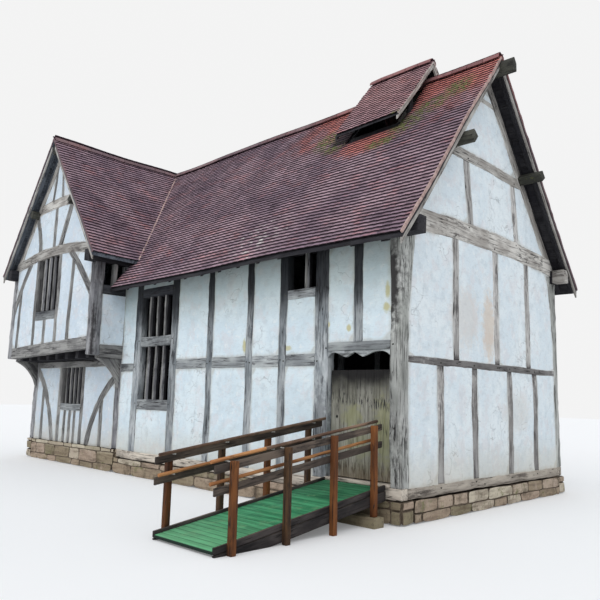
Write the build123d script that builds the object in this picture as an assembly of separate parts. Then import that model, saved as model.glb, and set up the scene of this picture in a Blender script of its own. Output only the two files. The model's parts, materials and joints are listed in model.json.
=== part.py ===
from build123d import *
import os

# Half timbered house: a hall under a steep tiled roof, with a two storey cross wing
# whose front jetties out, a smoke louvre over the hall ridge and a ramp to the door.
# Millimetres, +Z up. X runs along the hall, the front faces -Y, the wing is at -X.
# The origin is the hall's right front corner, at the level of the lowest ground.

# Hall walls.
HALL_LENGTH = 7880
HALL_DEPTH = 5600
HALL_PLINTH_TOP = 340
PLINTH_PROUD = 40
PLINTH_THICKNESS = 300
FLOOR_TOP = 530
FLOOR_THICKNESS = 150
SILL_HEIGHT = 170
TIMBER_DEPTH = 170
STUD_DEPTH = 145
PANEL_RECESS = 16
PANEL_THICKNESS = 105
POST_SIZE = 200
JOWL_WIDTH = 400
JOWL_FOOT_Z = 3000
STUD_WIDTH = 190
MAIN_POST_WIDTH = 300
MID_RAIL_Z = 2300
MID_RAIL_HEIGHT = 210
PLATE_WIDTH = 230
PLATE_HEIGHT = 190
PLATE_END = 300
STUD_2_SHARE = 0.5825
STUD_3_SHARE = 0.4327
STUD_4_X = -2530
SMALL_MULLION_X = -2005
PLATE_SEAT = 60
OVER_DOOR_STUD_X = -825

# Hall gable.
GABLE_RAIL_Z = 2330
GABLE_RAIL_HEIGHT = 125
TIE_Z = 4420
TIE_HEIGHT = 350
TIE_CAMBER = 110
COLLAR_Z = 5970
COLLAR_HEIGHT = 190
COLLAR_CAMBER = 50
YOKE_Z = 7330
YOKE_HEIGHT = 90
PRINCIPAL_DEPTH = 230
LOW_GABLE_STUDS = (1090, 2155, 3450, 4490)
HIGH_GABLE_STUDS = (1580, 2980, 4260)
TOP_GABLE_STUDS = ((2135, 1980), (3845, 3765))

# Roof.
RIDGE_Z = 8250
HALL_EAVE_Z = 4203
HALL_EAVE_OVERHANG = 400
HALL_VERGE_OVERHANG = 300
WING_EAVE_Z = 4930
WING_EAVE_OVERHANG = 190
WING_VERGE_OVERHANG = 230
TILE_DROP = 100
ROOF_DROP = 230
RAFTER_WIDTH = 90
RAFTER_FOOT = 110
HALL_RAFTER_COUNT = 13
WING_RAFTER_COUNT = 12
SHORTEST_RAFTER = 500
PURLIN_SIDE = 170
PURLIN_END = 460
RIDGE_PIECE_HEIGHT = 170
RIDGE_END = 560
HALL_PURLIN_OUT = 1390
APEX_GAP = 4
NOTCH_OVER = 5
WING_PURLIN_OUT = 1150
WING_PURLIN_END = 195
VERGE_BOARD_THICKNESS = 35
VERGE_BOARD_DEPTH = 60

# Door and its frame.
DOOR_LEFT = -1460
THRESHOLD_THICKNESS = 40
HEAD_Z = 2540
HEAD_HEIGHT = 140
HEAD_BOARD_THICKNESS = 45
HEAD_BOARD_DROP = 110
LEAF_SETBACK = 90
LEAF_TOP = 2230
LEAF_FOOT_GAP = 16
LEAF_BOARD_THICKNESS = 32
LEAF_BOARD_COUNT = 7
LEAF_BOARD_GAP = 2
LEAF_HINGE_GAP = 12
LEAF_FREE_GAP = 24
LEDGE_THICKNESS = 28
LEDGE_HEIGHT = 130
LEDGE_INSET = 40
LEDGE_HEIGHTS = (700, 1350, 2010)
PIN_RADIUS = 7
PIN_CLEARANCE = 0.3
EYE_RADIUS = 13
STRAP_THICKNESS = 6
STRAP_HEIGHT = 46
STRAP_LENGTH = 760

# Hall windows.
HALL_WINDOW_FROM_WING = 765
HALL_WINDOW_WIDTH = 1165
HALL_WINDOW_POST = 250
WINDOW_SILL_Z = 1430
WINDOW_SILL_HEIGHT = 220
TRANSOM_Z = 2820
TRANSOM_HEIGHT = 210
WINDOW_HEAD_Z = 3920
WINDOW_HEAD_HEIGHT = 200
MULLION_FACE = 62
MULLION_DEPTH = 120
HALL_MULLIONS = 3
SMALL_SILL_Z = 3470
SMALL_SILL_HEIGHT = 170
NARROW_RAIL_Z = 2270
NARROW_RAIL_HEIGHT = 180

# Wing.
WING_WIDTH = 4600
WING_BACK = 450
JETTY = 800
WING_PLINTH_TOP = 510
WING_POST = 230
WING_STUD_WIDTH = 160
TOP_RAIL_Z = 2400
TOP_RAIL_HEIGHT = 160
SIDE_BEAM_HEIGHT = 310
JOIST_HEIGHT = 200
JOIST_WIDTH = 150
JOIST_COUNT = 8
FLOOR_BOARD_THICKNESS = 30
BRESSUMER_DEPTH = 190
BRESSUMER_HEIGHT = 280
BRESSUMER_LEFT_Z = 2620
BRESSUMER_RIGHT_Z = 2760
BINDER_HEIGHT = 240
BINDER_WIDTH = 260
BRACKET_FOOT_Z = 1850
BRACKET_REACH = 600
BRACKET_THICKNESS = 130
BRACKET_HOLLOW = 0.13
WING_TIE_HEIGHT = 250
WING_TIE_CAMBER = 90
WING_COLLAR_Z = 6260
WING_COLLAR_HEIGHT = 270
WING_COLLAR_CAMBER = 120
WING_PRINCIPAL_DEPTH = 190
BRACE_WIDTH = 190
LOW_BRACE_LEFT = ((170, 2390), (940, 1500), (1330, 390))
LOW_BRACE_RIGHT = ((170, 2170), (960, 1480), (1440, 390))
LOW_STUD_LEFT = 640
LOW_STUD_RIGHT = 800
CLOSE_STUD_COUNT = 3
CLOSE_STUD_WIDTH = 130
HIGH_BRACE_LEFT = ((150, 3850), (560, 4480), (1020, 5060))
HIGH_BRACE_RIGHT = ((150, 4050), (760, 4620), (1350, 5080))
HIGH_STUD_LEFT = (500, 560)
HIGH_STUD_RIGHT = (1230, 1130)
GABLE_BRACE_FOOT = 780
GABLE_BRACE_KNEE = 870
GABLE_BRACE_HEAD = 1120
SLANT_BRACE_FOOT = 330
SLANT_BRACE_HEAD = 840
SLANT_BRACE_WIDTH = 220
V_STRUT_LEFT = (-290, -60)
V_STRUT_RIGHT = (290, 60)
V_STRUT_WIDTH = 110
REAR_STUD_COUNT = 4
SIDE_LOW_STUDS = 2
SIDE_HIGH_STUDS = 6
GROUND_WINDOW_OFFSET = -80
GROUND_WINDOW_WIDTH = 1060
GROUND_SILL_Z = 1310
GROUND_SILL_HEIGHT = 170
GROUND_MULLIONS = 4
UPPER_WINDOW_OFFSET = -190
UPPER_WINDOW_WIDTH = 1100
UPPER_SILL_Z = 3560
UPPER_SILL_HEIGHT = 230
UPPER_MULLIONS = 3
RETURN_RAIL_Z = 4020
RETURN_RAIL_HEIGHT = 220
RETURN_STUD_WIDTH = 90

# Smoke louvre.
LOUVRE_LEFT = -2760
LOUVRE_RIGHT = -1190
LOUVRE_LIFT = 450
LOUVRE_HALF_DEPTH = 1230
LOUVRE_DROP = 70
LOUVRE_POST = 90
LOUVRE_BOARD_DEPTH = 50
LOUVRE_BOARD_THICKNESS = 45
HOLE_HALF_DEPTH = 850
HOLE_MARGIN = 150

# Ramp.
RAMP_WIDTH = 1140
RAMP_CENTRE_X = -850
RAMP_FOOT_Y = -3170
RAMP_FOOT_Z = 60
RAMP_TOP_Z = 500
DECK_THICKNESS = 32
KERB_HEIGHT = 45
KERB_THICKNESS = 40
STRINGER_HEIGHT = 140
STRINGER_GAP = 8
RAMP_POST = 78
RAMP_POST_HEIGHT = 950
RAMP_POST_FIRST_Y = -370
RAMP_POST_PITCH = 862
RAMP_POST_COUNT = 4
RAIL_HEIGHT = 92
RAIL_THICKNESS = 36
RAIL_DROP = 14
MID_RAIL_DROP = 262
RAIL_OVERHANG = 240
POLE_RADIUS = 22
POLE_LIFT = 34
POLE_REACH = 60
ARM_SIZE = 12
FOOTING_DEPTH = 220
FOOTING_HEIGHT = 140
FOOTING_MARGIN = 60
BEARER_WIDTH = 90
BEARER_HEIGHT = 130

# Lines that the sizes give.
mid_y = HALL_DEPTH / 2
hall_rise = (RIDGE_Z - HALL_EAVE_Z) / (mid_y + HALL_EAVE_OVERHANG)
hall_length_factor = (1 + hall_rise ** 2) ** 0.5
wing_half = WING_WIDTH / 2
wing_right = -HALL_LENGTH
wing_left = wing_right - WING_WIDTH
wing_mid = wing_right - wing_half
wing_rise = (RIDGE_Z - WING_EAVE_Z) / (wing_half + WING_EAVE_OVERHANG)
wing_length_factor = (1 + wing_rise ** 2) ** 0.5
wing_rear = HALL_DEPTH + WING_BACK
sill_top = HALL_PLINTH_TOP + SILL_HEIGHT
door_right = -POST_SIZE
threshold_top = sill_top + THRESHOLD_THICKNESS
main_post_left = DOOR_LEFT - MAIN_POST_WIDTH
jetty_front = -JETTY
joist_z = TOP_RAIL_Z + TOP_RAIL_HEIGHT
side_beam_top = joist_z + SIDE_BEAM_HEIGHT
far = RIDGE_Z * 2
hall_window_left = wing_right + HALL_WINDOW_FROM_WING
hall_window_right = hall_window_left + HALL_WINDOW_WIDTH
stud_2_x = -HALL_LENGTH * STUD_2_SHARE
stud_3_x = -HALL_LENGTH * STUD_3_SHARE
ground_window_left = wing_mid + GROUND_WINDOW_OFFSET - GROUND_WINDOW_WIDTH / 2
ground_window_right = ground_window_left + GROUND_WINDOW_WIDTH
upper_window_left = wing_mid + UPPER_WINDOW_OFFSET - UPPER_WINDOW_WIDTH / 2
upper_window_right = upper_window_left + UPPER_WINDOW_WIDTH


def hall_top(y):
    return RIDGE_Z - hall_rise * abs(y - mid_y)


def hall_under(y):
    return hall_top(y) - ROOF_DROP


def wing_top(x):
    return RIDGE_Z - wing_rise * abs(x - wing_mid)


def wing_under(x):
    return wing_top(x) - ROOF_DROP


plate_z = hall_under(0) - PLATE_HEIGHT
wing_wall_top = wing_under(wing_right)
wing_plate_z = wing_wall_top - PLATE_HEIGHT


# Drawing helpers.
def polygon(*points):
    """A flat face from its corners, in wall coordinates: along and up."""
    return make_face(Polyline(*points, close=True))


def rect(a0, a1, b0, b1):
    return polygon((a0, b0), (a1, b0), (a1, b1), (a0, b1))


def upright(foot, head, width, low, high):
    """A stud that may lean a little, given by its centres at foot and head."""
    half = width / 2
    return polygon((foot - half, low), (foot + half, low), (head + half, high), (head - half, high))


def arched(a0, a1, low, height, camber):
    """A cambered beam, whose top and bottom rise together towards the middle."""
    middle = (a0 + a1) / 2
    edges = [
        ThreePointArc((a0, low), (middle, low + camber), (a1, low)),
        Line((a1, low), (a1, low + height)),
        ThreePointArc((a1, low + height), (middle, low + height + camber), (a0, low + height)),
        Line((a0, low + height), (a0, low)),
    ]
    return make_face(edges)


def band(start, via, end, width):
    """A curved timber of one width along the arc through three points."""
    arc = ThreePointArc(start, via, end)
    centre = arc.arc_center
    near = []
    away = []
    for point in (start, via, end):
        spoke = (Vector(*point) - centre).normalized()
        inner = centre + spoke * (arc.radius - width / 2)
        outer = centre + spoke * (arc.radius + width / 2)
        near.append((inner.X, inner.Y))
        away.append((outer.X, outer.Y))
    edges = [
        ThreePointArc(near[0], near[1], near[2]),
        Line(near[2], away[2]),
        ThreePointArc(away[2], away[1], away[0]),
        Line(away[0], near[0]),
    ]
    return make_face(edges)


def pieces(shapes, cutters, smallest=3000):
    """The faces left of some shapes once every cutter is taken from them."""
    left = []
    for shape in shapes:
        left.extend(shape.faces())
    for cutter in cutters:
        left = [part for face in left for part in (face - cutter).faces()]
    return [face for face in left if face.area > smallest]


def lowest(shape, cutters):
    """Of what the cutters leave of a stud, only its lowest length."""
    return min(pieces([shape], cutters), key=lambda face: face.center().Y)


def largest(shape, cutters):
    """Of what the cutters leave of a brace, only its main length."""
    return max(pieces([shape], cutters), key=lambda face: face.area)


def stand_y(faces, y, depth):
    """Faces drawn in (x, z), stood along X, from y over a depth."""
    plane = Plane(origin=(0, y, 0), x_dir=(1, 0, 0), z_dir=(0, -1, 0))
    direction = (0, 1, 0) if depth > 0 else (0, -1, 0)
    solids = []
    for shape in faces:
        for face in shape.faces():
            solids.extend(extrude(plane * face, amount=abs(depth), dir=direction).solids())
    return solids


def stand_x(faces, x, depth):
    """Faces drawn in (y, z), stood along Y, from x over a depth."""
    plane = Plane(origin=(x, 0, 0), x_dir=(0, 1, 0), z_dir=(1, 0, 0))
    direction = (1, 0, 0) if depth > 0 else (-1, 0, 0)
    solids = []
    for shape in faces:
        for face in shape.faces():
            solids.extend(extrude(plane * face, amount=abs(depth), dir=direction).solids())
    return solids


def block(x0, x1, y0, y1, z0, z1):
    centre = Pos((x0 + x1) / 2, (y0 + y1) / 2, (z0 + z1) / 2)
    return centre * Box(abs(x1 - x0), abs(y1 - y0), abs(z1 - z0))


def column(*points):
    """A tall prism over a plan outline, used to cut the slopes where roofs meet."""
    return extrude(polygon(*points), amount=far, dir=(0, 0, 1))


nodes = {}


def node(name, solids):
    nodes.setdefault(name, []).extend(solids)


# Plinth and floors.
plinth_in = PLINTH_THICKNESS - PLINTH_PROUD
hall_rear_in = HALL_DEPTH - plinth_in
wing_rear_in = wing_rear - plinth_in
cross_in = wing_right - plinth_in
node("long_plinth_walls", [
    block(wing_right, PLINTH_PROUD, -PLINTH_PROUD, plinth_in, 0, HALL_PLINTH_TOP),
    block(cross_in, PLINTH_PROUD, hall_rear_in, HALL_DEPTH + PLINTH_PROUD, 0, HALL_PLINTH_TOP),
    block(wing_left - PLINTH_PROUD, wing_left + plinth_in, -PLINTH_PROUD,
          wing_rear + PLINTH_PROUD, 0, WING_PLINTH_TOP),
])
wing_rear_plinth = block(wing_left + plinth_in, wing_right + PLINTH_PROUD, wing_rear_in,
                         wing_rear + PLINTH_PROUD, 0, WING_PLINTH_TOP)
wing_return_plinth = block(cross_in, wing_right + PLINTH_PROUD, HALL_DEPTH + PLINTH_PROUD,
                           wing_rear_in, 0, WING_PLINTH_TOP)
node("end_plinth_walls", [
    block(-plinth_in, PLINTH_PROUD, plinth_in, hall_rear_in, 0, HALL_PLINTH_TOP),
    block(wing_left + plinth_in, wing_right, -PLINTH_PROUD, plinth_in, 0, WING_PLINTH_TOP),
    wing_rear_plinth + wing_return_plinth,
])
floor_low = FLOOR_TOP - FLOOR_THICKNESS
hall_floor = block(wing_left + plinth_in, -plinth_in, plinth_in, hall_rear_in, floor_low, FLOOR_TOP)
wing_floor = block(wing_left + plinth_in, cross_in, hall_rear_in, wing_rear_in, floor_low, FLOOR_TOP)
node("ground_floor", (hall_floor + wing_floor).solids())

# Long roof timbers, in section.


def purlin_section(along, under, rise, facing, over=0):
    """A square purlin set to the slope, its top face on the roof's underside."""
    length = (1 + rise ** 2) ** 0.5
    slope = Vector(facing / length, rise / length)
    down = Vector(facing * rise / length, -1 / length)
    top = Vector(along, under)
    half = slope * (PURLIN_SIDE / 2)
    corners = [top - half - down * over, top + half - down * over,
               top + half + down * PURLIN_SIDE, top - half + down * PURLIN_SIDE]
    return polygon(*[(corner.X, corner.Y) for corner in corners])


def ridge_section(middle, rise, under):
    """The ridge timber, its back cut to both slopes, right under the tiles."""
    half = PURLIN_SIDE / 2
    shoulder = under - rise * half
    return polygon(
        (middle, under), (middle + half, shoulder), (middle + half, shoulder - RIDGE_PIECE_HEIGHT),
        (middle - half, shoulder - RIDGE_PIECE_HEIGHT), (middle - half, shoulder)
    )


def plate_section(face, inward, under_face, rise):
    """A wall plate, its outer arris cut back to a seat for the roof."""
    inner = face + inward * PLATE_WIDTH
    seat = face + inward * PLATE_SEAT
    high = under_face + rise * PLATE_SEAT
    low = under_face - PLATE_HEIGHT
    return polygon((face, low), (inner, low), (inner, high), (seat, high), (face, under_face))


hall_purlin_under = hall_under(mid_y - HALL_PURLIN_OUT)
front_purlin = purlin_section(mid_y - HALL_PURLIN_OUT, hall_purlin_under, hall_rise, 1)
rear_purlin = purlin_section(mid_y + HALL_PURLIN_OUT, hall_purlin_under, hall_rise, -1)
hall_ridge = ridge_section(mid_y, hall_rise, RIDGE_Z - TILE_DROP)
front_plate = plate_section(0, 1, hall_under(0), hall_rise)
rear_plate = plate_section(HALL_DEPTH, -1, hall_under(0), hall_rise)
front_notch = purlin_section(mid_y - HALL_PURLIN_OUT, hall_purlin_under, hall_rise, 1, NOTCH_OVER)
rear_notch = purlin_section(mid_y + HALL_PURLIN_OUT, hall_purlin_under, hall_rise, -1, NOTCH_OVER)
hall_long = [front_notch, rear_notch, hall_ridge, front_plate, rear_plate]
node("purlins", stand_x([front_purlin, rear_purlin], PURLIN_END, -(HALL_LENGTH + PURLIN_END)))
node("purlins", stand_x([hall_ridge], RIDGE_END, -(HALL_LENGTH + RIDGE_END)))
node("wall_plates", stand_x([front_plate, rear_plate], PLATE_END, -(HALL_LENGTH + PLATE_END)))

wing_purlin_under = wing_under(wing_mid - WING_PURLIN_OUT)
left_purlin = purlin_section(wing_mid - WING_PURLIN_OUT, wing_purlin_under, wing_rise, 1)
right_purlin = purlin_section(wing_mid + WING_PURLIN_OUT, wing_purlin_under, wing_rise, -1)
wing_ridge = ridge_section(wing_mid, wing_rise, RIDGE_Z - TILE_DROP)
left_plate = plate_section(wing_left, 1, wing_wall_top, wing_rise)
right_plate = plate_section(wing_right, -1, wing_wall_top, wing_rise)
left_notch = purlin_section(wing_mid - WING_PURLIN_OUT, wing_purlin_under, wing_rise, 1, NOTCH_OVER)
right_notch = purlin_section(wing_mid + WING_PURLIN_OUT, wing_purlin_under, wing_rise, -1,
                             NOTCH_OVER)
wing_long = [left_notch, right_notch, wing_ridge, left_plate, right_plate]
long_front = jetty_front - WING_PURLIN_END
long_run = wing_rear + WING_PURLIN_END - long_front

# Roof slopes.


def slope_layer(edge, middle, surface, high, low):
    """A layer of one slope in section, between two depths under the tiles' surface."""
    return polygon((edge, surface(edge) - high), (middle, surface(middle) - high),
                   (middle, surface(middle) - low), (edge, surface(edge) - low))


valley_run = wing_half + WING_EAVE_OVERHANG
valley_reach = valley_run * wing_rise / hall_rise
valley_x = wing_mid + valley_run
front_verge_y = jetty_front - WING_VERGE_OVERHANG
rear_verge_y = wing_rear + WING_VERGE_OVERHANG
verge_run = rear_verge_y - front_verge_y
left_eave_x = wing_left - WING_EAVE_OVERHANG
right_eave_x = wing_right + WING_EAVE_OVERHANG
left_slope = slope_layer(left_eave_x, wing_mid, wing_top, 0, TILE_DROP)
right_slope = slope_layer(right_eave_x, wing_mid, wing_top, 0, TILE_DROP)
hall_wedge = column((wing_mid, mid_y + APEX_GAP / 2), (wing_mid, mid_y - APEX_GAP / 2),
                    (valley_x, mid_y - valley_reach),
                    (valley_x + 1, mid_y - valley_reach), (valley_x + 1, mid_y + valley_reach),
                    (valley_x, mid_y + valley_reach))
wing_roof_right = stand_y([right_slope], front_verge_y, verge_run)[0] - hall_wedge
hole_left = LOUVRE_LEFT + HOLE_MARGIN
hole_right = LOUVRE_RIGHT - HOLE_MARGIN
smoke_hole = column((hole_left, mid_y - HOLE_HALF_DEPTH), (hole_right, mid_y - HOLE_HALF_DEPTH),
                    (hole_right, mid_y + HOLE_HALF_DEPTH), (hole_left, mid_y + HOLE_HALF_DEPTH))


def hall_slope(side):
    """One hall slope, fitted into the valley and cut round the smoke hole."""
    eave_y = mid_y + side * (mid_y + HALL_EAVE_OVERHANG)
    section = slope_layer(eave_y, mid_y, hall_top, 0, TILE_DROP)
    slab = stand_x([section], HALL_VERGE_OVERHANG, wing_mid - HALL_VERGE_OVERHANG)[0]
    valley_y = mid_y + side * valley_reach
    beyond = column((wing_mid, mid_y), (valley_x, valley_y), (wing_right, valley_y),
                    (wing_right, eave_y + side), (wing_mid - 1, eave_y + side), (wing_mid - 1, mid_y))
    slab = slab - beyond - smoke_hole
    for wing_piece in wing_roof_right.solids():
        slab = slab - wing_piece
    return slab


hall_front_slope = hall_slope(-1)
hall_rear_slope = hall_slope(1)
node("hall_roof_front", hall_front_slope.solids())
node("hall_roof_rear", hall_rear_slope.solids())
node("wing_roof_left", stand_y([left_slope], front_verge_y, verge_run))
node("wing_roof_right", wing_roof_right.solids())
node("purlins", stand_y([left_purlin, right_purlin, wing_ridge], long_front, long_run))
node("wall_plates", stand_y([left_plate], long_front, long_run))
for plate in stand_y([right_plate], long_front, long_run):
    node("wall_plates", (plate - hall_front_slope - hall_rear_slope).solids())

hall_board_low = TILE_DROP + VERGE_BOARD_DEPTH * hall_length_factor
wing_board_low = TILE_DROP + VERGE_BOARD_DEPTH * wing_length_factor
hall_eaves = (-HALL_EAVE_OVERHANG, HALL_DEPTH + HALL_EAVE_OVERHANG)
hall_boards = [slope_layer(edge, mid_y, hall_top, TILE_DROP, hall_board_low) for edge in hall_eaves]
wing_boards = [slope_layer(left_eave_x, wing_mid, wing_top, TILE_DROP, wing_board_low),
               slope_layer(right_eave_x, wing_mid, wing_top, TILE_DROP, wing_board_low)]
hall_apex = rect(mid_y - APEX_GAP / 2, mid_y + APEX_GAP / 2, 0, far)
wing_apex = rect(wing_mid - APEX_GAP / 2, wing_mid + APEX_GAP / 2, 0, far)
board_x = HALL_VERGE_OVERHANG - VERGE_BOARD_THICKNESS
node("barge_boards", stand_x(pieces(hall_boards, hall_long + [hall_apex]), board_x,
                             VERGE_BOARD_THICKNESS))
for y, depth in ((front_verge_y, VERGE_BOARD_THICKNESS), (rear_verge_y, -VERGE_BOARD_THICKNESS)):
    node("barge_boards", stand_y(pieces(wing_boards, wing_long + [wing_apex]), y, depth))


# Common rafters, from the tiles' underside down to the purlins and plates.
def rafter_section(eave, middle, surface, inward):
    """A rafter in section: its foot is set back from the tiles' edge, its head meets the ridge."""
    foot = eave + inward * RAFTER_FOOT
    return slope_layer(foot, middle - inward * PURLIN_SIDE / 2, surface, TILE_DROP, ROOF_DROP)


def evenly(left, right, count):
    """Centres that share an opening out evenly."""
    return [left + (right - left) * (index + 1) / (count + 1) for index in range(count)]


def long_enough(rafter):
    """What is left of a rafter once it is cut, without its offcuts."""
    smallest = SHORTEST_RAFTER * RAFTER_WIDTH * (ROOF_DROP - TILE_DROP)
    return [solid for solid in rafter.solids() if solid.volume > smallest]


hall_rafters = [rafter_section(hall_eaves[0], mid_y, hall_top, 1),
                rafter_section(hall_eaves[1], mid_y, hall_top, -1)]
wing_rafter_front = rafter_section(left_eave_x, wing_mid, wing_top, 1)
wing_rafter_back = rafter_section(right_eave_x, wing_mid, wing_top, -1)
node("common_rafters", stand_x(hall_rafters, board_x, -RAFTER_WIDTH))
node("common_rafters", stand_x(hall_rafters, 0, -TIMBER_DEPTH))
for centre in evenly(wing_right, -TIMBER_DEPTH, HALL_RAFTER_COUNT):
    for rafter in stand_x(hall_rafters, centre - RAFTER_WIDTH / 2, RAFTER_WIDTH):
        node("common_rafters", long_enough(rafter - smoke_hole))
wing_rafter_spans = [(front_verge_y + VERGE_BOARD_THICKNESS, RAFTER_WIDTH), (jetty_front, TIMBER_DEPTH),
                     (wing_rear, -TIMBER_DEPTH), (rear_verge_y - VERGE_BOARD_THICKNESS, -RAFTER_WIDTH)]
for centre in evenly(jetty_front + TIMBER_DEPTH, wing_rear - TIMBER_DEPTH, WING_RAFTER_COUNT):
    wing_rafter_spans.append((centre - RAFTER_WIDTH / 2, RAFTER_WIDTH))
for y, depth in wing_rafter_spans:
    node("common_rafters", stand_y([wing_rafter_front], y, depth))
    for rafter in stand_y([wing_rafter_back], y, depth):
        node("common_rafters", long_enough(rafter - hall_wedge - hall_front_slope - hall_rear_slope))

# Hall gable wall, drawn in (y, z).
above_hall = polygon((-far, hall_under(-far)), (mid_y, hall_under(mid_y)),
                     (HALL_DEPTH + far, hall_under(-far)), (HALL_DEPTH + far, far), (-far, far))
front_corner = polygon((0, sill_top), (POST_SIZE, sill_top), (POST_SIZE, JOWL_FOOT_Z),
                       (JOWL_WIDTH, TIE_Z), (0, TIE_Z))
rear_corner = polygon((HALL_DEPTH, sill_top), (HALL_DEPTH, TIE_Z), (HALL_DEPTH - JOWL_WIDTH, TIE_Z),
                      (HALL_DEPTH - POST_SIZE, JOWL_FOOT_Z), (HALL_DEPTH - POST_SIZE, sill_top))
tie = arched(0, HALL_DEPTH, TIE_Z, TIE_HEIGHT, TIE_CAMBER)
principal_fall = PRINCIPAL_DEPTH * hall_length_factor
principal_low = hall_under(0) - principal_fall
hall_rafter_front = polygon((0, hall_under(0)), (mid_y, hall_under(mid_y)),
                            (mid_y, hall_under(mid_y) - principal_fall), (0, principal_low))
hall_rafter_rear = polygon((HALL_DEPTH, hall_under(0)), (mid_y, hall_under(mid_y)),
                           (mid_y, hall_under(mid_y) - principal_fall), (HALL_DEPTH, principal_low))
collar = arched(0, HALL_DEPTH, COLLAR_Z, COLLAR_HEIGHT, COLLAR_CAMBER)
yoke = rect(0, HALL_DEPTH, YOKE_Z, YOKE_Z + YOKE_HEIGHT)
gable_rail = rect(POST_SIZE, HALL_DEPTH - POST_SIZE, GABLE_RAIL_Z, GABLE_RAIL_Z + GABLE_RAIL_HEIGHT)
corner_faces = pieces([front_corner, rear_corner], hall_long)
node("corner_posts", stand_x(corner_faces, 0, -POST_SIZE))
tie_cut = hall_long + [above_hall]
tie_faces = pieces([tie], tie_cut)
below_tie = rect(-far, far, -far, TIE_Z + TIE_HEIGHT / 2)
rafter_cut = tie_cut + [tie, below_tie, hall_apex]
rafters = [hall_rafter_front, hall_rafter_rear]
collar_cut = tie_cut + rafters
collar_faces = pieces([collar, yoke], collar_cut)
node("tie_and_collar_beams", stand_x(tie_faces + collar_faces, 0, -TIMBER_DEPTH))
node("principal_rafters", stand_x(pieces(rafters, rafter_cut), 0, -TIMBER_DEPTH))
node("gable_and_rear_rails", stand_x([gable_rail], 0, -TIMBER_DEPTH))
gable_studs = []
for centre in LOW_GABLE_STUDS:
    gable_studs.append(upright(centre, centre, STUD_WIDTH, sill_top, GABLE_RAIL_Z))
for centre in HIGH_GABLE_STUDS:
    gable_studs.append(upright(centre, centre, STUD_WIDTH, GABLE_RAIL_Z + GABLE_RAIL_HEIGHT,
                               TIE_Z + TIE_CAMBER))
for foot, head in TOP_GABLE_STUDS:
    gable_studs.append(upright(foot, head, STUD_WIDTH, TIE_Z + TIE_HEIGHT,
                               COLLAR_Z + COLLAR_CAMBER))
gable_frame = [tie, collar, yoke, gable_rail] + rafters
stud_faces = pieces(gable_studs, [above_hall] + gable_frame)
node("gable_studs", stand_x(stud_faces, 0, -STUD_DEPTH))
gable_outline = rect(POST_SIZE, HALL_DEPTH - POST_SIZE, sill_top, far)
gable_cut = [above_hall, front_corner, rear_corner] + gable_frame + hall_long + stud_faces
panel_faces = pieces([gable_outline], gable_cut)
node("gable_panels", stand_x(panel_faces, -PANEL_RECESS, -PANEL_THICKNESS))

# Open trusses inside the hall.
truss_tie = polygon((PLATE_WIDTH, plate_z), (HALL_DEPTH - PLATE_WIDTH, plate_z),
                    (HALL_DEPTH - PLATE_WIDTH, TIE_Z + TIE_HEIGHT), (PLATE_WIDTH, TIE_Z + TIE_HEIGHT))
truss_beams = pieces([truss_tie], tie_cut) + pieces([collar], collar_cut)
truss_rafters = pieces(rafters, tie_cut + [truss_tie, below_tie, hall_apex])
open_truss_x = main_post_left + (MAIN_POST_WIDTH + POST_SIZE) / 2
end_truss_x = wing_right + POST_SIZE
for truss_x in (open_truss_x, end_truss_x):
    node("tie_and_collar_beams", stand_x(truss_beams, truss_x, -POST_SIZE))
    node("principal_rafters", stand_x(truss_rafters, truss_x, -POST_SIZE))

# Hall front and rear walls, in (x, z).
window_left_post = hall_window_left - HALL_WINDOW_POST / 2
window_right_post = hall_window_right + HALL_WINDOW_POST / 2
main_post_x = DOOR_LEFT - MAIN_POST_WIDTH / 2
wall_studs = [
    upright(main_post_x, main_post_x, MAIN_POST_WIDTH, sill_top, plate_z),
    upright(STUD_4_X, STUD_4_X, STUD_WIDTH, sill_top, plate_z),
    upright(stud_3_x, stud_3_x, STUD_WIDTH, sill_top, plate_z),
    upright(stud_2_x, stud_2_x, STUD_WIDTH, sill_top, plate_z),
    upright(window_right_post, window_right_post, HALL_WINDOW_POST, sill_top, plate_z),
    upright(window_left_post, window_left_post, HALL_WINDOW_POST, sill_top, plate_z),
]
head_top = HEAD_Z + HEAD_HEIGHT
over_door = upright(OVER_DOOR_STUD_X, OVER_DOOR_STUD_X, STUD_WIDTH, head_top, plate_z)
node("front_posts_and_studs", stand_y(wall_studs + [over_door], 0, TIMBER_DEPTH))
mid_rail = rect(hall_window_right, DOOR_LEFT, MID_RAIL_Z, MID_RAIL_Z + MID_RAIL_HEIGHT)
narrow_rail = rect(wing_right, hall_window_left, NARROW_RAIL_Z, NARROW_RAIL_Z + NARROW_RAIL_HEIGHT)
small_left = STUD_4_X + STUD_WIDTH / 2
small_sill = rect(small_left, main_post_left, SMALL_SILL_Z, SMALL_SILL_Z + SMALL_SILL_HEIGHT)
node("front_rails", stand_y(pieces([mid_rail, narrow_rail, small_sill], wall_studs), 0, TIMBER_DEPTH))
window_rails = [
    rect(hall_window_left, hall_window_right, WINDOW_SILL_Z, WINDOW_SILL_Z + WINDOW_SILL_HEIGHT),
    rect(hall_window_left, hall_window_right, TRANSOM_Z, TRANSOM_Z + TRANSOM_HEIGHT),
    rect(hall_window_left, hall_window_right, WINDOW_HEAD_Z, WINDOW_HEAD_Z + WINDOW_HEAD_HEIGHT),
]
node("front_rails", stand_y(window_rails, 0, TIMBER_DEPTH))
head_beam = rect(DOOR_LEFT, door_right, HEAD_Z, head_top)
node("front_rails", stand_y([head_beam], 0, TIMBER_DEPTH))
openings = [
    rect(hall_window_left, hall_window_right, WINDOW_SILL_Z, WINDOW_HEAD_Z),
    rect(small_left, main_post_left, SMALL_SILL_Z, plate_z),
    rect(DOOR_LEFT, door_right, sill_top, head_top),
]
front_outline = rect(wing_right, door_right, sill_top, plate_z)
front_cut = wall_studs + [over_door, mid_rail, narrow_rail] + window_rails + openings
front_panels = pieces([front_outline], front_cut)
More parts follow.
